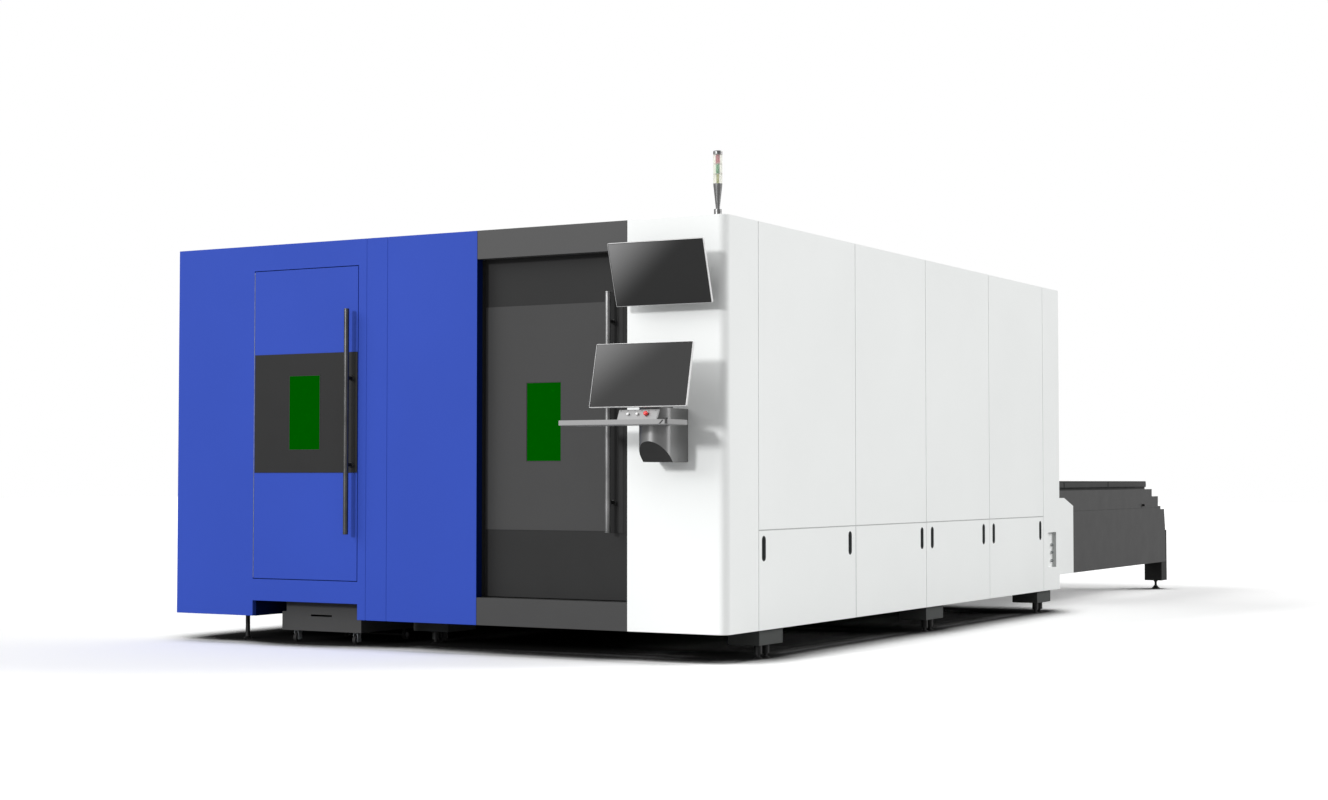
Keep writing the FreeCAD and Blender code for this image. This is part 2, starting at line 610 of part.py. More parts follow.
def left_rear_walls():
    walls = []
    y_lines = [PANEL_T + HALF_SEAM] + BAY_SEAMS[1:-1] + [CABIN_L - PANEL_T - HALF_SEAM]
    for y0, y1 in zip(y_lines[:-1], y_lines[1:]):
        walls.append(pan(X_LEFT, X_LEFT + PANEL_T, y0 + HALF_SEAM, y1 - HALF_SEAM,
                         SKIRT_Z, CABIN_TOP, "+x"))
    y = (CABIN_L - PANEL_T, CABIN_L)
    port = (PALLET_X[0] - PORT_MARGIN, PALLET_X[1] + PORT_MARGIN)
    right = -PANEL_T - HALF_SEAM
    middle = (X_LEFT + port[0]) / 2
    for x0, x1, z0, z1 in ((X_LEFT, middle - HALF_SEAM, SKIRT_Z, CABIN_TOP),
                           (middle + HALF_SEAM, port[0], SKIRT_Z, CABIN_TOP),
                           (port[1], right, SKIRT_Z, CABIN_TOP),
                           (port[0] + SEAM, port[1] - SEAM, PORT_Z[1], CABIN_TOP),
                           (port[0] + SEAM, port[1] - SEAM, SKIRT_Z, PORT_Z[0])):
        walls.append(pan(x0, x1, y[0], y[1], z0, z1, "-y"))
    return group(walls)


def roof_panels():
    y_lines = [HEADER_T + SEAM] + BAY_SEAMS[1:-1] + [CABIN_L - PANEL_T - HALF_SEAM]
    x = (X_LEFT + PANEL_T + HALF_SEAM, -PANEL_T - SEAM - HALF_SEAM)
    return group([pan(x[0], x[1], y0 + HALF_SEAM, y1 - HALF_SEAM, FRAME_TOP, FRAME_TOP + PANEL_T, "-z")
                  for y0, y1 in zip(y_lines[:-1], y_lines[1:])])


def cart_bay_liner():
    """One folded sheet: the side wall of the cart bay and the aisle floor above it."""
    x0 = WING_OPEN_X[0] - SHEET
    wall = box(x0, WING_OPEN_X[0], PANEL_T + HALF_SEAM, BAY_DEPTH, SKIRT_Z, AISLE_FLOOR_Z)
    floor_right = min(-BRACKET_LEFT[0] - SEAM, TRACK_X[0])
    floor = box(x0, floor_right, PILLAR_T + HALF_SEAM, FRAME_REAR, AISLE_FLOOR_Z, AISLE_FLOOR_Z + SHEET)
    return fuse([wall, floor])


def cabinet(y, height):
    """A sheet-metal cabinet that faces the aisle, and its back sheet."""
    z0 = BRACKET_TOP + RAIL
    x = (-CABINET_X[0], -CABINET_X[1])
    body = pan(x[0], x[1], y[0], y[1], z0, z0 + height, "-x")
    edge = SHEET + 1
    back = box(x[0], x[0] + SHEET, y[0] + edge, y[1] - edge, z0 + edge, z0 + height - edge)
    return group([body, back])


def rear_cowls():
    """White sheets beside the pallet port, each with its top rear corner cut off."""
    y0, y1 = CABIN_L + COWL_GAP, COWL_REAR
    outline = [(y0, TABLE_BOTTOM), (y0, COWL_TOP), (y1 - COWL_CHAMFER[0], COWL_TOP),
               (y1, COWL_TOP - COWL_CHAMFER[1]), (y1, TABLE_BOTTOM)]
    right = plate_from([(SKIN_X[1] + COWL_GAP, y, z) for y, z in outline], Vector(COWL_T, 0, 0))
    left = plate_from([(SKIN_X[0] - COWL_GAP, y, z) for y, z in outline], Vector(-COWL_T, 0, 0))
    return group([right, left])


# ---- doors and covers ----
def bar_handle(x, y, face_y, z0, foot_inset):
    """A round bar on two feet, parallel to the door that it pulls; y is its axis."""
    bar = rod(x, y, z0, Z_AXIS, HANDLE_R, HANDLE_L)
    bar = bar.makeFillet(HANDLE_EDGE_R, [e for e in bar.Edges if len(e.Vertexes) == 1])
    feet = [rod(x, y, z, Y_AXIS, HANDLE_FOOT_R, face_y - y)
            for z in (z0 + foot_inset, z0 + HANDLE_L - foot_inset)]
    return fuse([bar] + feet)


def door_window_x():
    return (X_DOORWAY + DOOR_WINDOW[0], X_DOORWAY + DOOR_WINDOW[1])


def front_door_leaf():
    """Sliding leaf with a raised field, a closing stile and two roller hangers on top."""
    leaf = pan(DOOR_X[0], DOOR_X[1], DOOR_Y[0], DOOR_Y[1], DOOR_Z[0], DOOR_Z[1], "+y")
    face = DOOR_Y[0]
    field = box(X_DOORWAY + SEAM, X_COLUMN - DOOR_FIELD_RIGHT, face - FIELD_PROUD, face,
                DOOR_FIELD_Z[0], DOOR_FIELD_Z[1])
    stile = box(X_COLUMN - DOOR_STILE_W, DOOR_X[1], face - FIELD_PROUD, face,
                DOOR_STILE_Z[0], DOOR_STILE_Z[1])
    leaf = fuse([leaf, field, stile])
    leaf = window_rebate(leaf, door_window_x(), DOOR_Y, DOOR_WINDOW[2:], face + GLASS_T)
    hangers = []
    roller_z = TRACK_Z + TRACK_WALL + RUN_CLEAR + ROLLER_R
    for x in (DOOR_X[0] + HANGER_INSET, DOOR_X[1] - HANGER_INSET):
        hangers.append(rod(x, TRACK_Y, DOOR_TOP - SHEET / 2, Z_AXIS, BUTTON_STEM_R, roller_z - DOOR_TOP))
        hangers.append(rod(x, TRACK_Y - TRACK_SLOT / 2 - ROLLER_T, roller_z, Y_AXIS,
                           CASTER_AXLE_R, TRACK_SLOT + 2 * ROLLER_T))
        for y in (TRACK_Y - TRACK_SLOT / 2 - ROLLER_T, TRACK_Y + TRACK_SLOT / 2):
            hangers.append(rod(x, y, roller_z, Y_AXIS, ROLLER_R, ROLLER_T))
    return fuse([leaf] + hangers)


def front_door_window():
    x, z = door_window_x(), DOOR_WINDOW[2:]
    return box(x[0] + GLASS_CLEAR, x[1] - GLASS_CLEAR, DOOR_Y[0], DOOR_Y[0] + GLASS_T,
               z[0] + GLASS_CLEAR, z[1] - GLASS_CLEAR)


def front_door_handle():
    return bar_handle(X_COLUMN - DOOR_HANDLE_EDGE, DOOR_Y[0] - HANDLE_STANDOFF, DOOR_Y[0],
                      DOOR_HANDLE_Z, DOOR_FOOT_INSET)


def door_track():
    """Channel with a slotted floor that the door's rollers hang in."""
    y = (TRACK_Y - TRACK_W / 2, TRACK_Y + TRACK_W / 2)
    outer = box(TRACK_X[0], TRACK_X[1], y[0], y[1], TRACK_Z, TRACK_Z + TRACK_H)
    hollow = box(TRACK_X[0] - 1, TRACK_X[1] + 1, y[0] + TRACK_WALL, y[1] - TRACK_WALL,
                 TRACK_Z + TRACK_WALL, TRACK_Z + TRACK_H - TRACK_WALL)
    slot = box(TRACK_X[0] - 1, TRACK_X[1] + 1, TRACK_Y - TRACK_SLOT / 2, TRACK_Y + TRACK_SLOT / 2,
               TRACK_Z - 1, TRACK_Z + TRACK_WALL + 1)
    return outer.cut(hollow).cut(slot)


def wing_window_x():
    return (WING_OPEN_X[0] + WING_WINDOW[0], WING_OPEN_X[0] + WING_WINDOW[1])


def wing_door_leaf():
    leaf = pan(WING_LEAF_X[0], WING_LEAF_X[1], 0, PANEL_T, WING_LEAF_Z[0], WING_LEAF_Z[1], "+y")
    return window_rebate(leaf, wing_window_x(), (0, PANEL_T), WING_WINDOW[2:], GLASS_T - WING_FIELD_T)


def wing_window_panel():
    field = box(WING_LEAF_X[0] + FIELD_INSET, WING_LEAF_X[1], -WING_FIELD_T, 0,
                WING_FIELD_Z[0], WING_FIELD_Z[1])
    x = wing_window_x()
    return field.cut(box(x[0], x[1], -PANEL_T, PANEL_T, WING_WINDOW[2], WING_WINDOW[3]))


def wing_door_window():
    x, z = wing_window_x(), WING_WINDOW[2:]
    return box(x[0] + GLASS_CLEAR, x[1] - GLASS_CLEAR, -WING_FIELD_T, GLASS_T - WING_FIELD_T,
               z[0] + GLASS_CLEAR, z[1] - GLASS_CLEAR)


def wing_door_handle():
    return bar_handle(WING_OPEN_X[1] - WING_HANDLE_EDGE, -WING_HANDLE_STANDOFF, -WING_FIELD_T,
                      WING_HANDLE_Z, WING_FOOT_INSET)


def hinge_pins():
    """Piano hinges in the gaps: a pin and the leaf that is screwed to the fixed side."""
    wing_z = (WING_LEAF_Z[0] + SEAM, WING_LEAF_Z[1] - SEAM)
    wing_pin = rod(WING_PIVOT[0], WING_PIVOT[1], wing_z[0], Z_AXIS, PIN_R, wing_z[1] - wing_z[0])
    wing_leaf = box(WING_OPEN_X[0], WING_PIVOT[0], WING_PIVOT[1], PANEL_T - SHEET, wing_z[0], wing_z[1])
    side_z = (SKIRT_Z + SEAM, COVER_TOP - SEAM)
    side_pin = rod(ACCESS_PIVOT[0], ACCESS_PIVOT[1], side_z[0], Z_AXIS, PIN_R, side_z[1] - side_z[0])
    side_leaf = box(-FRAME_SKIN, ACCESS_PIVOT[0], ACCESS_PIVOT[1] - 0.5, ACCESS_PIVOT[1] + 0.5,
                    BRACKET_TOP + RAIL, side_z[1])
    return group([fuse([wing_pin, wing_leaf]), fuse([side_pin, side_leaf])])


def lower_cover(bay):
    """A cover of the side skirt, with a sunk oval pull near one or both ends."""
    y0, y1 = BAY_SEAMS[bay] + HALF_SEAM, BAY_SEAMS[bay + 1] - HALF_SEAM
    cover = pan(-PANEL_T, 0, y0, y1, SKIRT_Z, COVER_TOP - HALF_SEAM, "-x")
    near, far = PULL_INSETS[bay]
    pulls = ([BAY_SEAMS[bay] + near] if near else []) + [BAY_SEAMS[bay + 1] - far]
    for y in pulls:
        cup = obround(-PULL_DEPTH - SHEET, 0, y, PULL_Z[0] - SHEET, PULL_Z[1] + SHEET, PULL_W + 2 * SHEET)
        hole = obround(-PULL_DEPTH, 1, y, PULL_Z[0], PULL_Z[1], PULL_W)
        cover = fuse([cover, cup]).cut(hole)
    return cover


# ---- operator's console ----
def console_housing():
    """Upright housing with a half-round nose and a slanted underside."""
    x = (-CONSOLE_X - NOSE_R, -CONSOLE_X + NOSE_R)
    height = HOUSING_Z[1] - HOUSING_Z[0]
    block = box(x[0], x[1], -HOUSING_FLAT, 0, HOUSING_Z[0], HOUSING_Z[1])
    nose = rod(-CONSOLE_X, -HOUSING_FLAT, HOUSING_Z[0], Z_AXIS, NOSE_R, height)
    body = fuse([block, nose])
    reach = -CONSOLE_FACE_Y - HOUSING_CUT_Y + SEAM
    wedge = plate_from([(x[0] - SEAM, -HOUSING_CUT_Y, HOUSING_Z[0]),
                        (x[0] - SEAM, -HOUSING_CUT_Y - reach, HOUSING_Z[0] + reach),
                        (x[0] - SEAM, -HOUSING_CUT_Y - reach, HOUSING_Z[0] - SEAM),
                        (x[0] - SEAM, -HOUSING_CUT_Y, HOUSING_Z[0] - SEAM)],
                       Vector(HOUSING_W + 2 * SEAM, 0, 0))
    return body.cut(wedge)


def nose_space(clearance):
    """The housing's outline, grown by a clearance, as a tall block to cut with."""
    radius = NOSE_R + clearance
    block = box(-CONSOLE_X - radius, -CONSOLE_X + radius, -HOUSING_FLAT, 0, 0, CABIN_TOP)
    return fuse([block, rod(-CONSOLE_X, -HOUSING_FLAT, 0, Z_AXIS, radius, CABIN_TOP)])


def keyboard_tray():
    """Shelf that wraps the housing's nose, with a shallow well for a keyboard."""
    tray = box(-TRAY_LEFT, -TRAY_RIGHT, -TRAY_FRONT, -TRAY_BACK, TRAY_Z, TRAY_Z + TRAY_T)
    tray = tray.makeFillet(TRAY_R, [e for e in tray.Edges if abs(e.tangentAt(e.FirstParameter).z) > 0.9])
    well_right = -PANEL_X - PANEL_FACE_W / 2 - TRAY_R
    well = box(-TRAY_LEFT + TRAY_R, well_right, -TRAY_FRONT + TRAY_R, -TRAY_BACK - TRAY_R,
               TRAY_Z + TRAY_T - TRAY_WELL, TRAY_Z + TRAY_T + 1)
    return tray.cut(well).cut(nose_space(0))


def button_seat(offset):
    """Centre of a button on the leaning face, and the face's outward direction."""
    run, rise = PANEL_FACE_LEAN, PANEL_FACE_H
    length = math.hypot(run, rise)
    out = Vector(0, -rise / length, run / length)
    centre = Vector(-PANEL_X + offset, -PANEL_FACE_FRONT + run / 2, TRAY_Z + TRAY_T + rise / 2)
    return centre, out


def button_bore(offset):
    centre, out = button_seat(offset)
    depth = BUTTON_STEM_L + STOP_STROKE + SEAM
    radius = BUTTON_STEM_R + RUN_CLEAR / 10
    return Part.makeCylinder(radius, depth + 1, centre - out * depth, out)


def button_panel():
    """A thick leaning plate, and behind it a narrower block that reaches the housing."""
    z = (TRAY_Z + TRAY_T, TRAY_Z + TRAY_T + PANEL_FACE_H)
    front = (-PANEL_FACE_FRONT, -PANEL_FACE_FRONT + PANEL_FACE_LEAN)
    parts = []
    for width, back in ((PANEL_FACE_W, (front[0] + PANEL_PLATE_T, front[1] + PANEL_PLATE_T)),
                        (PANEL_NECK_W, (CONSOLE_FACE_Y - RUN_CLEAR, CONSOLE_FACE_Y - RUN_CLEAR))):
        x = -PANEL_X - width / 2
        side = [(x, front[0], z[0]), (x, front[1], z[1]), (x, back[1], z[1]), (x, back[0], z[0])]
        parts.append(plate_from(side, Vector(width, 0, 0)))
    body = fuse(parts)
    for offset in (-BUTTON_PITCH, 0, BUTTON_PITCH):
        body = body.cut(button_bore(offset))
    return body


def push_button(offset, radius, cap_l, stroke):
    """A cap held off the panel by its stroke, on a stem that runs in the panel's bore."""
    centre, out = button_seat(offset)
    gap = stroke + RUN_CLEAR
    cap = Part.makeCylinder(radius, cap_l, centre + out * gap, out)
    rim = [e for e in cap.Edges if len(e.Vertexes) == 1
           and (e.CenterOfMass - centre).dot(out) > gap + cap_l / 2]
    cap = cap.makeFillet(cap_l / 3, rim)
    stem = Part.makeCylinder(BUTTON_STEM_R, BUTTON_STEM_L + gap, centre - out * BUTTON_STEM_L, out)
    return fuse([cap, stem])


def monitor_frame(setting):
    """Placement of a monitor: its face looks to -y, and its top leans by the given angle."""
    reach, height, lean = setting
    return FreeCAD.Placement(Vector(-CONSOLE_X, -reach, height), FreeCAD.Rotation(X_AXIS, lean))


def tilt_axis(setting):
    """Middle of the monitor's tilt barrel, behind its thick back."""
    depth = MONITOR_T + MONITOR_BACK_T + TILT_R + TILT_CLEAR
    return monitor_frame(setting).multVec(Vector(0, depth, 0))


def monitor(setting):
    w, h = MONITOR_W / 2, MONITOR_H / 2
    slab = box(-w, w, 0, MONITOR_T, -h, h)
    slab = slab.makeFillet(MONITOR_R, [e for e in slab.Edges
                                       if abs(e.tangentAt(e.FirstParameter).y) > 0.9])
    back = box(-MONITOR_BACK_W / 2, MONITOR_BACK_W / 2, MONITOR_T, MONITOR_T + MONITOR_BACK_T,
               -MONITOR_BACK_H / 2, MONITOR_BACK_H / 2)
    back = back.makeFillet(MONITOR_R, [e for e in back.Edges
                                       if abs(e.tangentAt(e.FirstParameter).y) > 0.9])
    depth = MONITOR_T + MONITOR_BACK_T
    ears = [box(x, x + ARM_T, depth, depth + 2 * TILT_R, -TILT_R, TILT_R)
            for x in (-TILT_L / 2 - ARM_T, TILT_L / 2)]
    pin = rod(-TILT_L / 2 - PIN_BITE, depth + TILT_R + TILT_CLEAR, 0, X_AXIS, TILT_R / 2,
              TILT_L + 2 * PIN_BITE)
    whole = fuse([slab, back] + ears + [pin])
    whole.Placement = monitor_frame(setting).multiply(whole.Placement)
    return whole


def tilt_barrel(setting):
    """The fixed half of a tilt joint, bored for the monitor's pin."""
    axis = tilt_axis(setting)
    length = TILT_L - 2 * TILT_CLEAR
    barrel = rod(axis.x - length / 2, axis.y, axis.z, X_AXIS, TILT_R - TILT_CLEAR, length)
    bore = rod(axis.x - length, axis.y, axis.z, X_AXIS, TILT_R / 2 + RUN_CLEAR / 10, 2 * length)
    return barrel, bore, axis


def monitor_arms():
    """Two brackets: one from the column to the upper monitor, one up from the housing."""
    x = (-CONSOLE_X - TILT_L / 2 + TILT_CLEAR, -CONSOLE_X + TILT_L / 2 - TILT_CLEAR)
    barrel, bore, axis = tilt_barrel(UPPER_MONITOR)
    web = box(x[0], x[1], axis.y, -ARM_T, axis.z - ARM_T / 2, axis.z + ARM_T / 2)
    foot = box(-CONSOLE_X - ARM_W, -CONSOLE_X + ARM_W, -ARM_T, 0, axis.z - ARM_W, axis.z + ARM_W)
    upper = fuse([barrel, web, foot]).cut(bore)
    barrel, bore, axis = tilt_barrel(LOWER_MONITOR)
    mast_y = -HOUSING_FLAT
    web = box(x[0], x[1], axis.y, mast_y, axis.z - ARM_T / 2, axis.z + ARM_T / 2)
    mast = box(x[0], x[1], mast_y - ARM_T, mast_y, HOUSING_Z[1] + ARM_T, axis.z + ARM_T / 2)
    foot = box(-CONSOLE_X - ARM_W, -CONSOLE_X + ARM_W, mast_y - ARM_W, mast_y + ARM_W,
               HOUSING_Z[1], HOUSING_Z[1] + ARM_T)
    lower = fuse([barrel, web, mast, foot]).cut(bore)
    return group([upper, lower])


# ---- warning light ----
def tower_light_body():
    """Foot and widening stem below, dark cap on top."""
    x, y = -LIGHT_X, LIGHT_Y
    foot = rod(x, y, CABIN_TOP, Z_AXIS, LIGHT_FOOT_R, LIGHT_FOOT_H)
    stem = Part.makeCone(LIGHT_NECK_R, LIGHT_R, LIGHT_STEM_H, Vector(x, y, CABIN_TOP + LIGHT_FOOT_H))
    cap = rod(x, y, LIGHT_TOP - LIGHT_CAP_H, Z_AXIS, LIGHT_R, LIGHT_CAP_H)
    cap = cap.makeFillet(LIGHT_CAP_H / 3, [e for e in cap.Edges if len(e.Vertexes) == 1
                                           and e.CenterOfMass.z > LIGHT_TOP - 1])
    return group([fuse([foot, stem]), cap])


def tower_light_lenses():
    base = CABIN_TOP + LIGHT_FOOT_H + LIGHT_STEM_H
    return group([rod(-LIGHT_X, LIGHT_Y, base + i * LIGHT_TIER_H, Z_AXIS, LIGHT_R - 1, LIGHT_TIER_H)
                  for i in range(LIGHT_TIERS)])


# ---- gantry ----
def gantry_beam():
    beam = tube(GANTRY_X[0], GANTRY_X[1], GANTRY_Y, SADDLE_Y, GANTRY_Z,
                        GANTRY_Z + GANTRY_BEAM_H, BEAM_WALL)
    lids = [box(x, x + BEAM_WALL, GANTRY_Y, SADDLE_Y, GANTRY_Z, GANTRY_Z + GANTRY_BEAM_H)
            for x in (GANTRY_X[0], GANTRY_X[1] - BEAM_WALL)]
    rail_x = (-HEAD_X - HEAD_TRAVEL_X - SADDLE_W, -HEAD_X + SADDLE_W / 2)
    rails = [box(rail_x[0], rail_x[1], SADDLE_Y, SADDLE_Y + GUIDE_W / 2, z, z + GUIDE_W)
             for z in (GANTRY_Z + GUIDE_W, GANTRY_Z + GANTRY_BEAM_H - 2 * GUIDE_W)]
    return group([fuse([beam] + lids)] + rails)


def gantry_ends():
    """End carriages on the guide rails, each with its gear motor and rack pinion."""
    ends = []
    mid_y = GANTRY_Y + GANTRY_BEAM_L / 2
    for side in (1, -1):
        x = guide_x(side)
        block = box(x - END_W / 2, x + END_W / 2, mid_y - END_L / 2, mid_y + END_L / 2, END_Z, GANTRY_Z)
        motor_y = GANTRY_Y - MOTOR_W / 2 - 2 * SEAM
        motor_x = rack_x(side) + side * (RACK_W + PINION_R + 2 * RUN_CLEAR)
        motor = box(motor_x - MOTOR_W / 2, motor_x + MOTOR_W / 2, motor_y - MOTOR_W / 2,
                    motor_y + MOTOR_W / 2, GANTRY_Z, GANTRY_Z + MOTOR_H)
        pinion = rod(motor_x, motor_y, BED_TOP + RUN_CLEAR, Z_AXIS, PINION_R, GUIDE_H - RUN_CLEAR)
        shaft = rod(motor_x, motor_y, GUIDE_TOP, Z_AXIS, PINION_R / 2, GANTRY_Z - GUIDE_TOP)
        ends.append(fuse([block, motor, pinion, shaft]))
    return group(ends)


def head_carriage():
    """Saddle on the cross rails with the upright that guides the cutting head."""
    y0 = SADDLE_Y + GUIDE_W / 2 + RUN_CLEAR
    saddle = box(-HEAD_X - SADDLE_W / 2, -HEAD_X + SADDLE_W / 2, y0, y0 + GUIDE_H,
                 GANTRY_Z + GUIDE_W, GANTRY_Z + GUIDE_W + SADDLE_H)
    upright = box(-HEAD_X - COLUMN_Z_W / 2, -HEAD_X + COLUMN_Z_W / 2, y0 + GUIDE_H,
                  y0 + GUIDE_H + COLUMN_Z_T, GANTRY_Z + GUIDE_W, COLUMN_Z_TOP)
    motor = box(-HEAD_X - MOTOR_W / 2, -HEAD_X + MOTOR_W / 2, y0 + GUIDE_H,
                y0 + GUIDE_H + COLUMN_Z_T, COLUMN_Z_TOP, COLUMN_Z_TOP + MOTOR_W)
    return fuse([saddle, upright, motor])


def head_y():
    return SADDLE_Y + GUIDE_W / 2 + 2 * RUN_CLEAR + GUIDE_H + COLUMN_Z_T


def cutting_head():
    """Slide block, collimator body, focusing barrel and nozzle, held in one stack."""
    y0 = head_y()
    mid = y0 + HEAD_W / 2
    body_z = NOZZLE_Z + HEAD_W
    body = box(-HEAD_X - HEAD_W / 2, -HEAD_X + HEAD_W / 2, y0, y0 + HEAD_W, body_z, body_z + HEAD_BODY_H)
    fibre_inlet = rod(-HEAD_X, mid, body_z + HEAD_BODY_H, Z_AXIS, HEAD_W / 4, HEAD_W)
    barrel = rod(-HEAD_X, mid, NOZZLE_Z + HEAD_W / 2, Z_AXIS, HEAD_W / 3, HEAD_W / 2)
    nozzle = Part.makeCone(NOZZLE_R, HEAD_W / 4, HEAD_W / 2, Vector(-HEAD_X, mid, NOZZLE_Z))
    return fuse([body, fibre_inlet, barrel, nozzle])


# ---- pallets ----
def pallet_span(upper):
    rear = PALLET_REAR if upper else PALLET_REAR - PALLET_TRAVEL
    return rear - PALLET_L, rear


def pallet_frame(upper):
    y0, y1 = pallet_span(upper)
    z0 = PALLET_UNDERSIDES[1 if upper else 0]
    z1 = z0 + PALLET_BEAM_H
    w = PALLET_BEAM_W
    bars = [box(PALLET_X[1] - w, PALLET_X[1], y0, y1, z0, z1),
            box(PALLET_X[0], PALLET_X[0] + w, y0, y1, z0, z1),
            box(PALLET_X[0], PALLET_X[1], y0, y0 + w, z0, z1),
            box(PALLET_X[0], PALLET_X[1], y1 - w, y1, z0, z1)]
    for x in (PALLET_X[1] - SKIRT_INSET - SKIRT_T, PALLET_X[0] + SKIRT_INSET):
        bars.append(box(x, x + SKIRT_T, y0, y1, z0 - SKIRT_H, z0))
    wheels = []
    for y in spaced(y0 + WHEEL_INSET, y1 - WHEEL_INSET, WHEELS_PER_SIDE):
        for x in (PALLET_X[1] - w + SEAM, PALLET_X[0] + w - SEAM - WHEEL_W):
            wheels.append(rod(x, y, z0 - WHEEL_DROP, X_AXIS, WHEEL_R, WHEEL_W))
    return fuse(bars + wheels)


def slat(y, top):
    """An upright steel strip with a saw-tooth upper edge that the sheet lies on."""
    x0, x1 = PALLET_X[0] + PALLET_BEAM_W, PALLET_X[1] - PALLET_BEAM_W
    pitch = (x1 - x0) / SLAT_TEETH
    points = [(x0, y, top - SLAT_BELOW - SLAT_ABOVE), (x1, y, top - SLAT_BELOW - SLAT_ABOVE)]
    points.append((x1, y, top - SLAT_NOTCH))
    for i in range(SLAT_TEETH, 0, -1):
        points.append((x0 + (i - 0.5) * pitch, y, top))
        points.append((x0 + (i - 1) * pitch, y, top - SLAT_NOTCH))
    return plate_from(points, Vector(0, SLAT_T, 0))


def pallet_slats(upper):
    y0, y1 = pallet_span(upper)
    top = PALLET_UNDERSIDES[1 if upper else 0] + PALLET_BEAM_H + SLAT_ABOVE
    inset = PALLET_BEAM_W + SEAM
    return group([slat(y, top) for y in spaced(y0 + inset, y1 - inset - SLAT_T, SLAT_COUNT)])


# ---- exchange table ----
def table_frame():
    """Welded stand: rear posts, side beams under the tracks and cross members."""
    y_end = TABLE_END - TABLE_SKIN_T
    y_beam = (CABIN_L + SEAM, y_end - TABLE_POST_W)
    bars = []
    for side in (1, -1):
        inner = PALLET_X[1] + BED_SIDE_CLEAR if side > 0 else PALLET_X[0] - BED_SIDE_CLEAR
        outer = inner + side * TABLE_BEAM_W
        for y0, y1, beam_top in ((y_beam[0], TABLE_TRACK_END, TABLE_BEAM_Z[1]),
                                 (TABLE_TRACK_END, y_beam[1], TABLE_STEPS[-1][1] - SEAM)):
            bars.append(tube(min(inner, outer), max(inner, outer), y0, y1,
                             TABLE_BEAM_Z[0], beam_top, BED_WALL))
        face = SKIN_X[1] - TABLE_SKIN_T - 1 if side > 0 else SKIN_X[0] + TABLE_SKIN_T + 1
        back = face - side * TABLE_POST_W
        bars.append(box(min(face, back), max(face, back), y_end - TABLE_POST_W, y_end,
                        TABLE_POST_Z, TABLE_LEDGE[1] - 1))
        bars.append(box(min(inner, face), max(inner, face), y_end - 2 * TABLE_POST_W,
                        y_end - TABLE_POST_W, TABLE_BOTTOM + SEAM, TABLE_BEAM_Z[0]))
        bars.append(box(min(back, face), max(back, face), y_end - 2 * TABLE_POST_W,
                        y_end - TABLE_POST_W, TABLE_BOTTOM + SEAM, TABLE_LEDGE[1] - 1))
    for y in TABLE_CROSS_Y:
        bars.append(tube(PALLET_X[0] - BED_SIDE_CLEAR, PALLET_X[1] + BED_SIDE_CLEAR, y, y + TABLE_CROSS_W,
                         TABLE_BEAM_Z[0], TABLE_BEAM_Z[0] + TABLE_CROSS_W, BED_WALL))
    bars.append(box(PALLET_X[0], PALLET_X[1], y_end - TABLE_CROSS_W, y_end,
                    TABLE_BOTTOM + SEAM, TABLE_BOTTOM + TABLE_CROSS_W))
    return fuse(bars)


def skin_outline():
    """Side view of a table skin: level top, three steps and a sloping rear edge."""
    y0 = CABIN_L + COWL_GAP
    points = [(y0, TABLE_BOTTOM), (y0, TABLE_TOP)]
    level = TABLE_TOP
    for y, lower in TABLE_STEPS:
        points += [(y, level), (y, lower)]
        level = lower
    points += [(TABLE_SHOULDER_Y, level), TABLE_LEDGE, (TABLE_LEDGE[0], TABLE_BOTTOM)]
    return points


def table_skins():
    right = plate_from([(SKIN_X[1], y, z) for y, z in skin_outline()], Vector(-TABLE_SKIN_T, 0, 0))
    left = plate_from([(SKIN_X[0], y, z) for y, z in skin_outline()], Vector(TABLE_SKIN_T, 0, 0))
    x = (SKIN_X[0] + TABLE_SKIN_T, SKIN_X[1] - TABLE_SKIN_T)
    end = box(x[0], x[1], TABLE_END - TABLE_SKIN_T, TABLE_END, TABLE_BOTTOM, TABLE_LEDGE[1])
    shins = [box(x0, x0 + TABLE_POST_W, TABLE_END - TABLE_SKIN_T, TABLE_END, TABLE_POST_Z, TABLE_BOTTOM)
             for x0 in (x[0], x[1] - TABLE_POST_W)]
    return group([right, left, fuse([end] + shins)])


def exchange_drive():
    """Gear motor, cross shaft and two sprockets that pull the pallets in and out."""
    x = (PALLET_X[0] + PALLET_BEAM_W, PALLET_X[1] - PALLET_BEAM_W)
    shaft = rod(x[0], DRIVE_Y, DRIVE_Z, X_AXIS, SHAFT_R, x[1] - x[0])
    sprockets = [rod(end, DRIVE_Y, DRIVE_Z, X_AXIS, SPROCKET_R, SPROCKET_T)
                 for end in (x[0], x[1] - SPROCKET_T)]
    mid = (x[0] + x[1]) / 2
    gearbox = box(mid - SPROCKET_R, mid + SPROCKET_R, DRIVE_Y - 2 * SPROCKET_R, DRIVE_Y + SPROCKET_R,
                  DRIVE_Z - SPROCKET_R, DRIVE_Z + SPROCKET_R)
    motor = rod(mid, DRIVE_Y - 2 * SPROCKET_R, DRIVE_Z, -Y_AXIS, SPROCKET_R * 0.9, 4 * SPROCKET_R)
    return fuse([shaft, gearbox, motor] + sprockets)


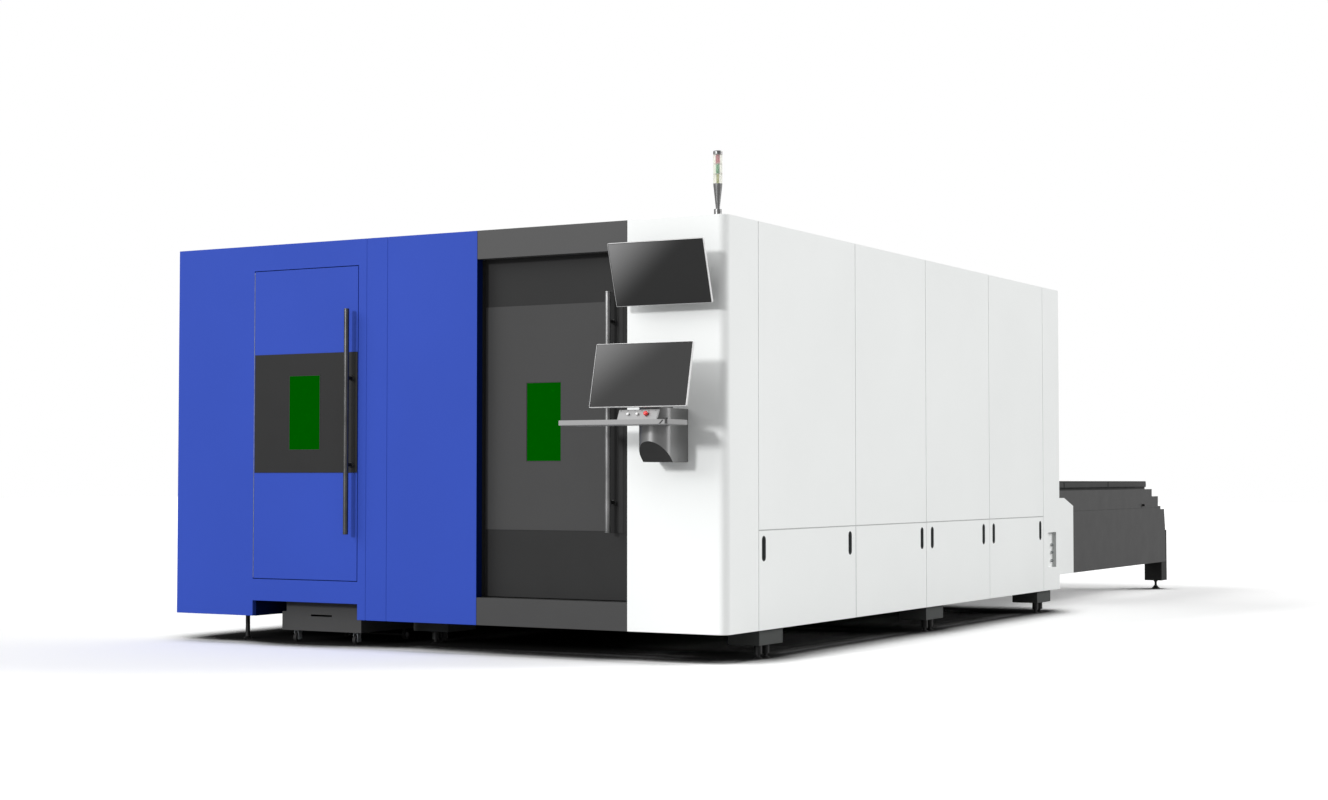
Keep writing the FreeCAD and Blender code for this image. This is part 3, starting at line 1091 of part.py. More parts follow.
# ---- scrap cart ----
def cart_tub():
    """Welded tub: a floor, side sheets with a step on the left, and two end sheets."""
    x, y, z = CART_X, (CART_FRONT, CART_FRONT + CART_L), CART_Z
    w = CART_WALL
    inner = (y[0] + w, y[1] - w)
    step_x = x[0] + CART_STEP
    sides = [box(x[1] - w, x[1], inner[0], inner[1], z[0] + w, z[1]),
             box(x[0], x[0] + w, inner[0], inner[1], z[0] + w, CART_STEP_Z),
             box(x[0] + w, step_x, inner[0], inner[1], CART_STEP_Z - w, CART_STEP_Z),
             box(step_x, step_x + w, inner[0], inner[1], CART_STEP_Z - w, z[1])]
    outline = [(x[0], z[0]), (x[1], z[0]), (x[1], z[1]), (step_x, z[1]), (step_x, CART_STEP_Z),
               (x[0], CART_STEP_Z)]
    front, back = [plate_from([(px, end_y, pz) for px, pz in outline], Vector(0, w, 0))
                   for end_y in (y[0], y[1] - w)]
    slot_x = (x[0] + CART_SLOT[0], x[0] + CART_SLOT[1])
    front = front.cut(box(slot_x[0], slot_x[1], y[0] - 1, y[0] + w + 1, CART_SLOT[2], CART_SLOT[3]))
    axle_y = y[0] + REAR_AXLE_Y
    floor = [box(x[0], x[1], inner[0], inner[1], z[0], z[0] + w)]
    for x0 in rear_hanger_x():
        floor.append(box(x0, x0 + FORK_T, axle_y - CASTER_AXLE_R * 2, axle_y + CASTER_AXLE_R * 2,
                         CASTER_R - CASTER_AXLE_R * 2, z[0]))
    bore = rod(x[0], axle_y, CASTER_R, X_AXIS, CASTER_AXLE_R + RUN_CLEAR / 10, CART_W)
    return group([fuse(floor).cut(bore), front, back] + sides)


def rear_hanger_x():
    inset = CASTER_INSET[0] + CASTER_T / 2 + FORK_CLEAR
    return (CART_X[0] + inset, CART_X[1] - inset - FORK_T)


def cart_rear_wheels():
    """Two wheels on one axle that turns in the brackets under the tub."""
    y = CART_FRONT + REAR_AXLE_Y
    near, far = rear_hanger_x()
    axle_x = (near - FORK_CLEAR - CASTER_T, far + FORK_T + FORK_CLEAR + CASTER_T)
    axle = rod(axle_x[0], y, CASTER_R, X_AXIS, CASTER_AXLE_R, axle_x[1] - axle_x[0])
    wheels = [rod(x, y, CASTER_R, X_AXIS, CASTER_R, CASTER_T) for x in (axle_x[0], axle_x[1] - CASTER_T)]
    return fuse([axle] + wheels)


def caster_axis(side):
    """Swivel axis of a front caster on the left (-1) or right (1) corner."""
    x = CART_X[0] + CASTER_INSET[0] if side < 0 else CART_X[1] - CASTER_INSET[0]
    return x, CART_FRONT + CASTER_INSET[1]


def cart_fork(side):
    """Caster fork: top plate under the tub and two cheeks with the wheel's axle."""
    x, y = caster_axis(side)
    half = CASTER_T / 2 + FORK_CLEAR
    top = CART_Z[0] - RUN_CLEAR
    plate = rod(x, y, top - FORK_T, Z_AXIS, CASTER_T, FORK_T)
    crown = box(x - half - FORK_T, x + half + FORK_T, y - CASTER_TRAIL - CASTER_T / 2, y + CASTER_T / 2,
                top - 2 * FORK_T, top - FORK_T)
    cheeks = [box(x0, x0 + FORK_T, y - CASTER_TRAIL - CASTER_AXLE_R * 2, y + CASTER_AXLE_R,
                  CASTER_R - CASTER_AXLE_R * 2, top - FORK_T) for x0 in (x - half - FORK_T, x + half)]
    axle = rod(x - half - FORK_T, y - CASTER_TRAIL, CASTER_R, X_AXIS, CASTER_AXLE_R, 2 * (half + FORK_T))
    return fuse([plate, crown] + cheeks + [axle])


def cart_wheel(side):
    x, y = caster_axis(side)
    wheel = rod(x - CASTER_T / 2, y - CASTER_TRAIL, CASTER_R, X_AXIS, CASTER_R, CASTER_T)
    bore = rod(x - CASTER_T, y - CASTER_TRAIL, CASTER_R, X_AXIS,
               CASTER_AXLE_R + RUN_CLEAR / 10, 2 * CASTER_T)
    return wheel.cut(bore)


NODES = {
    "bed_frame": bed_frame,
    "levelling_feet": levelling_feet,
    "gantry_rails": gantry_rails,
    "pallet_tracks": pallet_tracks,
    "scrap_chute": scrap_chute,
    "cabin_frame": cabin_frame,
    "wing_front_panel": wing_front_panel,
    "front_blue_panels": front_blue_panels,
    "header_panel": header_panel,
    "door_sill": door_sill,
    "corner_column": corner_column,
    "side_upper_panels": side_upper_panels,
    "side_rear_panel": side_rear_panel,
    "left_rear_walls": left_rear_walls,
    "roof_panels": roof_panels,
    "cart_bay_liner": cart_bay_liner,
    "electrical_cabinet": lambda: cabinet(CABINET_Y, CABINET_H),
    "laser_source": lambda: cabinet(SOURCE_Y, SOURCE_H),
    "door_track": door_track,
    "hinge_pins": hinge_pins,
    "rear_cowls": rear_cowls,
    "table_frame": table_frame,
    "table_skins": table_skins,
    "exchange_drive": exchange_drive,
    "console_housing": console_housing,
    "keyboard_tray": keyboard_tray,
    "button_panel": button_panel,
    "monitor_arms": monitor_arms,
    "tower_light_body": tower_light_body,
    "tower_light_lenses": tower_light_lenses,
    "front_door_leaf": front_door_leaf,
    "front_door_window": front_door_window,
    "front_door_handle": front_door_handle,
    "wing_door_leaf": wing_door_leaf,
    "wing_window_panel": wing_window_panel,
    "wing_door_window": wing_door_window,
    "wing_door_handle": wing_door_handle,
    "lower_cover_front": lambda: lower_cover(0),
    "access_door": lambda: lower_cover(1),
    "lower_cover_middle": lambda: lower_cover(2),
    "lower_cover_rear": lambda: lower_cover(3),
    "upper_monitor": lambda: monitor(UPPER_MONITOR),
    "lower_monitor": lambda: monitor(LOWER_MONITOR),
    "push_button_left": lambda: push_button(-BUTTON_PITCH, BUTTON_R, BUTTON_CAP_L, BUTTON_STROKE),
    "push_button_right": lambda: push_button(0, BUTTON_R, BUTTON_CAP_L, BUTTON_STROKE),
    "emergency_stop": lambda: push_button(BUTTON_PITCH, STOP_R, STOP_CAP_L, STOP_STROKE),
    "cart_tub": cart_tub,
    "cart_rear_wheels": cart_rear_wheels,
    "cart_fork_left": lambda: cart_fork(-1),
    "cart_fork_right": lambda: cart_fork(1),
    "cart_wheel_left": lambda: cart_wheel(-1),
    "cart_wheel_right": lambda: cart_wheel(1),
    "gantry_beam": gantry_beam,
    "gantry_ends": gantry_ends,
    "head_carriage": head_carriage,
    "cutting_head": cutting_head,
    "upper_pallet_frame": lambda: pallet_frame(True),
    "upper_pallet_slats": lambda: pallet_slats(True),
    "lower_pallet_frame": lambda: pallet_frame(False),
    "lower_pallet_slats": lambda: pallet_slats(False),
}

os.makedirs("parts", exist_ok=True)
for node_name, make in NODES.items():
    save(node_name, make())
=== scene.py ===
# %% [markdown]
# # Fiber laser cutting machine
#
# The machine is a closed sheet-steel cabin round a gantry cutter, with a table behind it
# that swaps two pallets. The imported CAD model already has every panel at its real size.
# This lesson gives it paint, glass, rubber and the small parts that a CAD solid leaves out.
# The model is loaded first, because everything else is placed from it.

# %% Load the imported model
import json
import math

import bmesh
import bpy
from mathutils import Matrix, Vector


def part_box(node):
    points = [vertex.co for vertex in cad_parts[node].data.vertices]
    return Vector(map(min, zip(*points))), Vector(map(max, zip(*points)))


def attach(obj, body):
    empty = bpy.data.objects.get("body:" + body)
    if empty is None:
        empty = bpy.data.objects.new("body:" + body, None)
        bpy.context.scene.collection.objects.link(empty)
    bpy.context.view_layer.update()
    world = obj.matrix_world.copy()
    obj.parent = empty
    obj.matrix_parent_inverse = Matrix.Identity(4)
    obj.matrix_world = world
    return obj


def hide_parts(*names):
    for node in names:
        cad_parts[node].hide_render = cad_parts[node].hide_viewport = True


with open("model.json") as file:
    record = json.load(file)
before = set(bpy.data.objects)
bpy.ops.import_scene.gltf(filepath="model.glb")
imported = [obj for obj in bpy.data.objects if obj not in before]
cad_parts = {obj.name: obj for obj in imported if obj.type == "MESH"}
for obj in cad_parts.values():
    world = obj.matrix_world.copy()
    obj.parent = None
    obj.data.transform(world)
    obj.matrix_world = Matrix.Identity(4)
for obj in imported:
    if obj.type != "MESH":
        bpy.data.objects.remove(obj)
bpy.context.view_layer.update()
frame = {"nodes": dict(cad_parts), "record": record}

# %% [markdown]
# ## Places
#
# Sheet metal is drawn in millimetres, so the pieces below are too, and a single factor turns
# them to metres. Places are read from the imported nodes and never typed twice: the right skin,
# the front skin and the floor are the three planes that a fitter would measure from.

# %% Millimetres and the three planes
MM = 0.001


def edges(node):
    """The sides of a CAD node in millimetres: x0, x1, y0, y1, z0, z1."""
    low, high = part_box(node)
    return tuple(value / MM for pair in zip(low, high) for value in pair)


RIGHT = edges("side_upper_panels")[1]
FRONT = edges("corner_column")[2]
LEFT = edges("wing_front_panel")[0]
SKIRT, TOP = edges("corner_column")[4:6]
print("cabin", round(RIGHT - LEFT), "mm wide,", round(TOP - SKIRT), "mm of panel height")

# %% [markdown]
# ## Camera
#
# The photograph was taken from the front right, less than a metre above the floor, with a
# moderate lens. The camera repeats that view: its height is below the console, so the roof
# hides and the underside of the console shows.

# %% Camera at the photograph's viewpoint
PHOTO_LENS_MM = 56.96
PHOTO_PLACE = (RIGHT + 4715.5, FRONT - 8932.3, 904.5)
PHOTO_PITCH, PHOTO_TURN = 92.096, 29.52
SEEN_AS_FAR_AS_M = 200.0

camera = bpy.data.objects.new("photo_camera", bpy.data.cameras.new("photo_camera"))
camera.data.lens = PHOTO_LENS_MM
camera.data.clip_end = SEEN_AS_FAR_AS_M
camera.location = Vector(PHOTO_PLACE) * MM
camera.rotation_euler = (math.radians(PHOTO_PITCH), 0.0, math.radians(PHOTO_TURN))
bpy.context.scene.collection.objects.link(camera)
bpy.context.scene.camera = camera
bpy.context.scene.view_settings.view_transform = "Standard"
print("camera", [round(v, 2) for v in camera.location], "m")

# %% [markdown]
# ## Colours and nodes
#
# A paint chart gives colours as hex codes for a screen, but shader nodes work in linear light.
# One function does that conversion for every material. A second small function adds a node,
# sets its values and joins its links. Nearly every surface needs a soft change of tone and a
# fine relief, so these two steps have a function too, and each material reads like a recipe.

# %% Colour and node helpers
def linear(hex_code):
    """A screen colour such as 3C53B8, as the linear colour that a shader takes."""
    parts = [int(hex_code[i:i + 2], 16) / 255 for i in (0, 2, 4)]
    rgb = [c / 12.92 if c <= 0.04045 else ((c + 0.055) / 1.055) ** 2.4 for c in parts]
    return (*rgb, 1.0)


def add(tree, kind, inputs=None, **settings):
    """Adds a node. A value goes into an input, and a socket of another node is linked to it."""
    node = tree.nodes.new(kind)
    for key, value in settings.items():
        setattr(node, key, value)
    for key, value in (inputs or {}).items():
        if isinstance(value, bpy.types.NodeSocket):
            join(tree, node, {key: value})
        else:
            node.inputs[key].default_value = value
    return node


def join(tree, node, inputs):
    """Links each input of a node, by its name, to the socket given for it."""
    for key, socket in inputs.items():
        tree.links.new(socket, node.inputs[key])


def per_mm(size):
    """The texture scale that repeats once in so many millimetres."""
    return 1.0 / (size * MM)


def cloudy(tree, place, size_mm, detail, low, high, low_at=0.0, high_at=1.0):
    """A soft pattern of so many millimetres, spread between two values."""
    noise = add(tree, "ShaderNodeTexNoise", {
        "Vector": place, "Scale": per_mm(size_mm), "Detail": detail})
    spread = add(tree, "ShaderNodeMapRange", {
        "Value": noise.outputs["Fac"], "From Min": low_at, "From Max": high_at,
        "To Min": low, "To Max": high})
    return spread.outputs["Result"]


def grainy(tree, place, size_mm, detail, strength, depth_mm):
    """The relief of a surface with a grain of so many millimetres."""
    noise = add(tree, "ShaderNodeTexNoise", {
        "Vector": place, "Scale": per_mm(size_mm), "Detail": detail})
    relief = add(tree, "ShaderNodeBump", {
        "Height": noise.outputs["Fac"], "Strength": strength, "Distance": depth_mm * MM})
    return relief.outputs[0]


def new_finish(name, **surface):
    """A material; returns it, its tree, its Principled node and its Object coordinates."""
    print("finish", name)
    material = bpy.data.materials.new(name)
    material.use_nodes = True
    tree = material.node_tree
    tree.nodes.clear()
    values = {key.replace("_", " "): value for key, value in surface.items()}
    shader = add(tree, "ShaderNodeBsdfPrincipled", values)
    add(tree, "ShaderNodeOutputMaterial", {"Surface": shader.outputs[0]})
    return material, tree, shader, add(tree, "ShaderNodeTexCoord").outputs["Object"]


# %% [markdown]
# ## Light and floor
#
# A product photographer gives each of the two visible sides its own lamp. The front has a key
# lamp with a clear shadow, seen beside the handle bars, and a wide soft one further left. The
# side has one from the rear right. The rounded corner between them gets little of any, so it
# shows as a darker band and the eye reads it as round. Two low strip lamps light only what
# shines, and draw the bright line along each bar. The world fills in the rest. Suns do the
# work of lamps here, because they light a long machine evenly from end to end.
#
# The floor is plain and pale. The camera sees it a little paler than other rays do, so that it
# runs into the white background. Ambient occlusion keeps it dark under the machine.

# %% World, five suns and the floor
AMBIENT = 0.45
world = bpy.data.worlds.new("studio")
bpy.context.scene.world = world
world.use_nodes = True
sky = world.node_tree
sky.nodes.clear()
ray = add(sky, "ShaderNodeLightPath")
seen = add(sky, "ShaderNodeMath", {
    0: ray.outputs["Is Camera Ray"], 1: ray.outputs["Is Transmission Ray"]}, operation="MAXIMUM")
level = add(sky, "ShaderNodeMapRange", {
    "Value": seen.outputs[0], "To Min": AMBIENT, "To Max": 1.0})
glow = add(sky, "ShaderNodeBackground", {
    "Color": linear("FFFFFF"), "Strength": level.outputs["Result"]})
add(sky, "ShaderNodeOutputWorld", {"Surface": glow.outputs[0]})


def sun_light(name, bearing, height, width, strength, matt_too=True):
    """A sun; bearing is in degrees from the front, towards the right side."""
    sun = bpy.data.objects.new(name, bpy.data.lights.new(name, "SUN"))
    sun.data.energy = strength
    sun.data.angle = math.radians(width)
    aside, up = math.radians(bearing), math.radians(height)
    came_from = Vector((math.sin(aside) * math.cos(up), -math.cos(aside) * math.cos(up),
                        math.sin(up)))
    sun.rotation_mode = "QUATERNION"
    sun.rotation_quaternion = came_from.to_track_quat("Z", "Y")
    sun.visible_diffuse = matt_too
    bpy.context.scene.collection.objects.link(sun)


sun_light("key_sun", -14, 15, 7, 1.38)
sun_light("soft_key_sun", -46, 30, 40, 1.42)
sun_light("side_sun", 133, 25, 30, 2.01)
sun_light("front_strip_lamp", -6, 4, 22, 0.35, matt_too=False)
sun_light("rear_strip_lamp", 124, 4, 22, 0.35, matt_too=False)

FLECK_MM = 400.0
PALE_TO_CAMERA, PALE_TO_LIGHT = 1.25, 0.5
SHADE_REACH_M = 0.5
SHADED, OPEN = 0.55, 0.8    # how open the sky above the floor is where its shade begins and ends
FLOOR_REACH = 60.0          # metres

floor_finish = bpy.data.materials.new("studio_floor")
floor_finish.use_nodes = True
tree = floor_finish.node_tree
tree.nodes.clear()
place = add(tree, "ShaderNodeTexCoord").outputs["Object"]
tint = cloudy(tree, place, FLECK_MM, 3.0, 0.98, 1.0)
path = add(tree, "ShaderNodeLightPath")
brighter = add(tree, "ShaderNodeMapRange", {
    "Value": path.outputs["Is Camera Ray"], "To Min": PALE_TO_LIGHT, "To Max": PALE_TO_CAMERA})
grey = add(tree, "ShaderNodeMath", {0: tint, 1: brighter.outputs["Result"]},
           operation="MULTIPLY")
open_sky = add(tree, "ShaderNodeAmbientOcclusion", {"Distance": SHADE_REACH_M})
covered = add(tree, "ShaderNodeMapRange", {
    "Value": open_sky.outputs["AO"], "From Min": SHADED, "From Max": OPEN,
    "To Min": 0.02, "To Max": 1.0})
shaded = add(tree, "ShaderNodeMath", {0: grey.outputs[0], 1: covered.outputs["Result"]},
             operation="MULTIPLY")
matt = add(tree, "ShaderNodeBsdfDiffuse", {"Color": shaded.outputs[0]})
add(tree, "ShaderNodeOutputMaterial", {"Surface": matt.outputs[0]})
floor_mesh = bpy.data.meshes.new("studio_floor")
corners = [(x * FLOOR_REACH, y * FLOOR_REACH, 0) for x, y in ((-1, -1), (1, -1), (1, 1), (-1, 1))]
floor_mesh.from_pydata(corners, [], [(0, 1, 2, 3)])
floor_mesh.materials.append(floor_finish)
floor = bpy.data.objects.new("studio_floor", floor_mesh)
bpy.context.scene.collection.objects.link(floor)
print("ambient", AMBIENT, "suns", len(bpy.data.lights))

# %% [markdown]
# ## Powder coat
#
# The panels are mild steel sheet with a baked powder coat. Powder melts into a film with a
# faint orange peel, a few millimetres from crest to crest, and it has a satin shine. A noise
# texture at that size bends the normal a little. A second, very wide noise changes the
# brightness by a few percent, as light does on a large sheet that isn't perfectly flat.

# %% Powder-coated steel
PEEL_MM = 5.0       # real peel is 1 to 3 mm; drawn coarser, or it would not show
PEEL_DEPTH_MM = 0.4
SHEET_WAVE_MM = 900.0
RUB_MM = 160.0


def powder_coat(name, colour, roughness=0.42, drift=0.03, peel=0.10, shine=0.08):
    """Baked powder: drift is how far the brightness wanders, peel how strong the relief is."""
    material, tree, shader, place = new_finish(
        name, Base_Color=linear(colour), Roughness=roughness, Specular_IOR_Level=shine)
    wave = cloudy(tree, place, SHEET_WAVE_MM, 3.0, 1.0 - drift, 1.0 + drift, 0.3, 0.7)
    coat = add(tree, "ShaderNodeHueSaturation", {"Value": wave, "Color": linear(colour)})
    film = grainy(tree, place, PEEL_MM, 2.0, peel, PEEL_DEPTH_MM)
    satin = cloudy(tree, place, RUB_MM, 4.0, roughness - 0.05, roughness + 0.06, 0.3, 0.7)
    join(tree, shader, {"Base Color": coat.outputs[0], "Normal": film, "Roughness": satin})
    return material


BLUE = powder_coat("blue_powder_coat", "324DB1", roughness=0.5)
# A darker copy of the blue, for faces in shade: painted shade, on the pillar's return and in the
# cart bay.
BLUE_PAINTED_SHADE = powder_coat("blue_powder_coat_inside", "001A50", roughness=0.6)
WHITE = powder_coat("white_powder_coat", "F2F4F3", roughness=0.5, drift=0.015)
# Light grey, darker than the white skin: painted shade, for the seam flanges and the recess walls.
WHITE_PAINTED_SHADE = powder_coat("white_seam_flange", "C9CBCA", roughness=0.6, drift=0.01)
HEADER_GREY = powder_coat("header_grey_powder_coat", "555555")
DOOR_DARK = powder_coat("door_dark_powder_coat", "2F2F2F")
DOOR_MID = powder_coat("door_field_powder_coat", "454545")
# Darker than the door's paint, for the band beside the sliding door's bar: painted shade.
BAR_SHADE_DARK = powder_coat("closing_stile_powder_coat", "212121")
WINDOW_PANEL_GREY = powder_coat("window_panel_powder_coat", "2F2F2F")
SILL_GREY = powder_coat("sill_grey_powder_coat", "494949")
TABLE_GREY = powder_coat("table_grey_powder_coat", "505050", roughness=0.5, drift=0.005, peel=0.04)
GUARD_GREY = powder_coat("pallet_guard_powder_coat", "444444", roughness=0.5, drift=0.005)
CREASE_PAINTED_SHADE = powder_coat("table_crease_shade", "3E3E3E", roughness=0.6)
FRAME_BLACK = powder_coat("frame_black_enamel", "2E2E2E", roughness=0.5)
BED_GREY = powder_coat("bed_grey_enamel", "4C4E4D", roughness=0.55)
CART_GREY = powder_coat("cart_grey_powder_coat", "4A4A4A", roughness=0.5)
UNDERSIDE_PAINTED_SHADE = powder_coat("console_underside_powder_coat", "3A3A3A", roughness=0.5)
RECESS_PAINTED_SHADE = powder_coat("recess_shaded_powder_coat", "8A8A8A", roughness=0.5)
PANEL_GREY = powder_coat("control_panel_light_grey", "AFAFAF", roughness=0.4)
TRAY_GREY = powder_coat("keyboard_tray_light_grey", "A0A0A0", roughness=0.4)
CABINET_GREY = powder_coat("cabinet_light_grey", "B9BCBC", roughness=0.5)

# %% [markdown]
# ## Bare metals
#
# The handle bars, guide rails and slats aren't painted. Brushed bar shows fine lines along its
# length, ground rail is smoother, zinc plate is cloudy and the slats carry brown mill scale and
# spatter. They share one recipe: a noise texture stretched along the grain changes both
# roughness and relief, and a wide noise mixes two tones of the metal.

# %% Brushed, ground, plated and scaled steel
GRAIN_DEPTH_MM = 0.2


def bare_metal(name, light, dark, roughness, grain_mm=(2.0, 2.0, 60.0), cloud_mm=120.0, relief=0.15,
               metal=1.0):
    """Metal of two mixed tones, with a grain whose size is given along x, y and z."""
    material, tree, shader, place = new_finish(
        name, Base_Color=linear(light), Roughness=roughness, Metallic=metal)
    squeezed = add(tree, "ShaderNodeMapping", {
        "Vector": place, "Scale": [per_mm(size) for size in grain_mm]})
    grain = add(tree, "ShaderNodeTexNoise", {
        "Vector": squeezed.outputs[0], "Scale": 1.0, "Detail": 4.0})
    shine = add(tree, "ShaderNodeMapRange", {
        "Value": grain.outputs["Fac"], "To Min": roughness - 0.08, "To Max": roughness + 0.12})
    lines = add(tree, "ShaderNodeBump", {
        "Height": grain.outputs["Fac"], "Strength": relief, "Distance": GRAIN_DEPTH_MM * MM})
    tone = cloudy(tree, place, cloud_mm, 5.0, 0.0, 1.0, 0.35, 0.65)
    colour = add(tree, "ShaderNodeMix", {"Factor": tone, "A": linear(dark), "B": linear(light)},
                 data_type="RGBA")
    join(tree, shader, {"Base Color": colour.outputs["Result"], "Normal": lines.outputs[0],
                        "Roughness": shine.outputs["Result"]})
    return material


FINE, SOFT = (3.0, 3.0, 3.0), (4.0, 4.0, 4.0)       # even grains of the plated and painted ones
HANDLE_STEEL = bare_metal("brushed_handle_bar", "8C8C8C", "6E6E6E", 0.34, metal=0.7)
GROUND_STEEL = bare_metal("ground_rail_steel", "B4B6B8", "9A9DA0", 0.28, grain_mm=(2.0, 80.0, 2.0))
ZINC = bare_metal("zinc_plated_steel", "9EA2A4", "83878A", 0.4, grain_mm=FINE, cloud_mm=15.0)
BLACK_OXIDE = bare_metal("black_oxide_steel", "343434", "222222", 0.45, grain_mm=FINE, metal=0.6)
SLAT_STEEL = bare_metal("scaled_slat_steel", "5C5856", "3C3835", 0.55, grain_mm=(8.0, 8.0, 8.0),
                        cloud_mm=45.0, relief=0.4, metal=0.6)
CONSOLE_GREY = bare_metal("console_metallic_grey", "868686", "7E7E7E", 0.34, grain_mm=SOFT,
                          cloud_mm=200.0, relief=0.05, metal=0.6)
DARK_BAR = bare_metal("dark_handle_bar", "5A5A5A", "4C4C4C", 0.3, metal=0.8)
ALUMINIUM = bare_metal("anodised_aluminium", "B9BCBF", "A9ACAF", 0.38, grain_mm=(3.0, 60.0, 3.0))
MONITOR_RIM = bare_metal("monitor_rim_satin_aluminium", "DADADA", "CFCFCF", 0.4, relief=0.05,
                         metal=0.3)
BRASS = bare_metal("turned_brass", "B58B45", "9A7436", 0.3, grain_mm=(3.0, 3.0, 0.8))

# %% [markdown]
# ## Rubber, plastic, glass and lamps
#
# Seals and wheels are black rubber with a dull, grainy face. Housings are moulded ABS with a
# fine spark-eroded texture. The laser windows are green acrylic that blocks the beam, so they
# are nearly opaque and have a smooth face. A monitor that is off is dark glass with a soft
# matt coat, and a painted reflection makes it paler towards its upper left corner.

# %% Moulded and cast materials
SPARK_DEPTH_MM, DUST_MM = 0.1, 40.0
COAT_MM, COAT_DEPTH_MM = 0.8, 0.05
# The pale side of each screen's painted reflection lies towards its upper left.
REFLECTION_LEAN = (-1.7, 0.0, 2.2)        # towards a screen's upper left, per metre
REFLECTION_REACH = 0.9


def moulded(name, colour, roughness, grain_mm=1.5, relief=0.2, **surface):
    """Rubber or plastic with the even grain of its mould."""
    material, tree, shader, place = new_finish(
        name, Base_Color=linear(colour), Roughness=roughness, **surface)
    dust = cloudy(tree, place, DUST_MM, 3.0, 0.94, 1.06)
    toned = add(tree, "ShaderNodeHueSaturation", {"Value": dust, "Color": linear(colour)})
    join(tree, shader, {"Base Color": toned.outputs[0],
                        "Normal": grainy(tree, place, grain_mm, 2.0, relief, SPARK_DEPTH_MM)})
    return material


RUBBER = moulded("black_rubber", "161616", 0.75, relief=0.35)
GASKET = moulded("black_seal_rubber", "0E0E0E", 0.6)
BLACK_ABS = moulded("black_moulded_abs", "1E1E1E", 0.45)
PULL_ABS = moulded("dark_grey_moulded_abs", "46494A", 0.5)
WHEEL_HUB = moulded("grey_wheel_nylon", "5E6062", 0.45)
BUTTON_WHITE = moulded("white_push_button", "F0F0F0", 0.25, relief=0.05)
STOP_RED = moulded("red_mushroom_button", "E02020", 0.25, relief=0.05)
WINDOW_GREEN = moulded("green_laser_acrylic", "005000", 0.16, grain_mm=30.0, relief=0.03,
                       Specular_IOR_Level=0.0)
LENS_CLEAR = moulded("clear_lens_polycarbonate", "FBFBF6", 0.12, relief=0.05,
                     Transmission_Weight=0.85, IOR=1.03)
LAMP_RED = moulded("red_lamp_core", "A84458", 0.4)
LAMP_GREEN = moulded("green_lamp_core", "5C9A72", 0.4)
LAMP_YELLOW = moulded("yellow_lamp_core", "9CA060", 0.4)
LIGHT_CHROME = bare_metal("warning_light_bright_stem", "868686", "7A7A7A", 0.26, relief=0.03,
                          metal=0.85)


def screen_with_painted_reflection(name, middle, dark, pale):
    """A monitor's glass: dark, with a painted reflection that makes it paler towards its upper left
    corner.
    """
    material, tree, shader, place = new_finish(name, Roughness=0.38, Specular_IOR_Level=0.15)
    centred = add(tree, "ShaderNodeMapping", {"Vector": place, "Location": [-v for v in middle]})
    along = add(tree, "ShaderNodeVectorMath", {0: centred.outputs[0], 1: REFLECTION_LEAN},
                operation="DOT_PRODUCT")
    painted_reflection = add(tree, "ShaderNodeMapRange", {
        "Value": along.outputs["Value"], "From Min": 0.0, "From Max": REFLECTION_REACH},
        interpolation_type="SMOOTHSTEP")
    tone = add(tree, "ShaderNodeMix", {
        "Factor": painted_reflection.outputs["Result"], "A": linear(dark), "B": linear(pale)}, data_type="RGBA")
    join(tree, shader, {"Base Color": tone.outputs["Result"],
                        "Normal": grainy(tree, place, COAT_MM, 1.0, 0.05, COAT_DEPTH_MM)})
    return material


print("finishes:", len(bpy.data.materials))

# %% [markdown]
# ## Building pieces
#
# Most small parts are cut from plate or turned from bar, so three shapes are enough: a block,
# a rod and a plate of any outline. Each adds to a mesh in millimetres. The other helpers turn
# that mesh to a piece, soften its edges with a small bevel, as a real edge is never sharp,
# and let it ride on the body that carries it.

# %% Helpers for blocks, rods, plates and finished pieces
RECORD = frame["record"]
BODY_OF = {node: body for body, nodes in RECORD["behaviour"]["bodies"].items() for node in nodes}
SMOOTH_DEGREES, BEVEL_DEGREES = 35.0, 40.0
WELD_MM, FLAT_DEGREES = 0.02, 0.4


def block(mesh, x, y, z):
    """Adds a block; x, y and z are each (low, high)."""
    middle = Matrix.Translation([(pair[0] + pair[1]) / 2 for pair in (x, y, z)])
    size = Matrix.Diagonal([pair[1] - pair[0] for pair in (x, y, z)] + [1.0])
    bmesh.ops.create_cube(mesh, size=1.0, matrix=middle @ size)


def rod(mesh, start, end, radius, end_radius=None, sides=24):
    """Adds a round rod or, with an end radius, a cone."""
    start, end = Vector(start), Vector(end)
    turn = (end - start).to_track_quat("Z", "Y").to_matrix().to_4x4()
    bmesh.ops.create_cone(mesh, cap_ends=True, segments=sides, radius1=radius,
                          radius2=radius if end_radius is None else end_radius,
                          depth=(end - start).length,
                          matrix=Matrix.Translation((start + end) / 2) @ turn)


def band(mesh, a, b):
    """Joins two rings of points with a band of faces."""
    for i in range(len(a)):
        mesh.faces.new((a[i - 1], a[i], b[i], b[i - 1]))


def plate(mesh, outline, push):
    """Adds a flat outline of points, pushed along a vector into a plate."""
    near = [mesh.verts.new(p) for p in outline]
    far = [mesh.verts.new(Vector(p) + Vector(push)) for p in outline]
    mesh.faces.new(near)
    mesh.faces.new(far[::-1])
    band(mesh, near, far)


def shaped(name, mesh, scale=1.0):
    """A new object in the scene, from a mesh that is used up."""
    data = bpy.data.meshes.new(name)
    mesh.to_mesh(data)
    mesh.free()
    data.transform(Matrix.Scale(scale, 4))
    piece = bpy.data.objects.new(name, data)
    bpy.context.scene.collection.objects.link(piece)
    return piece


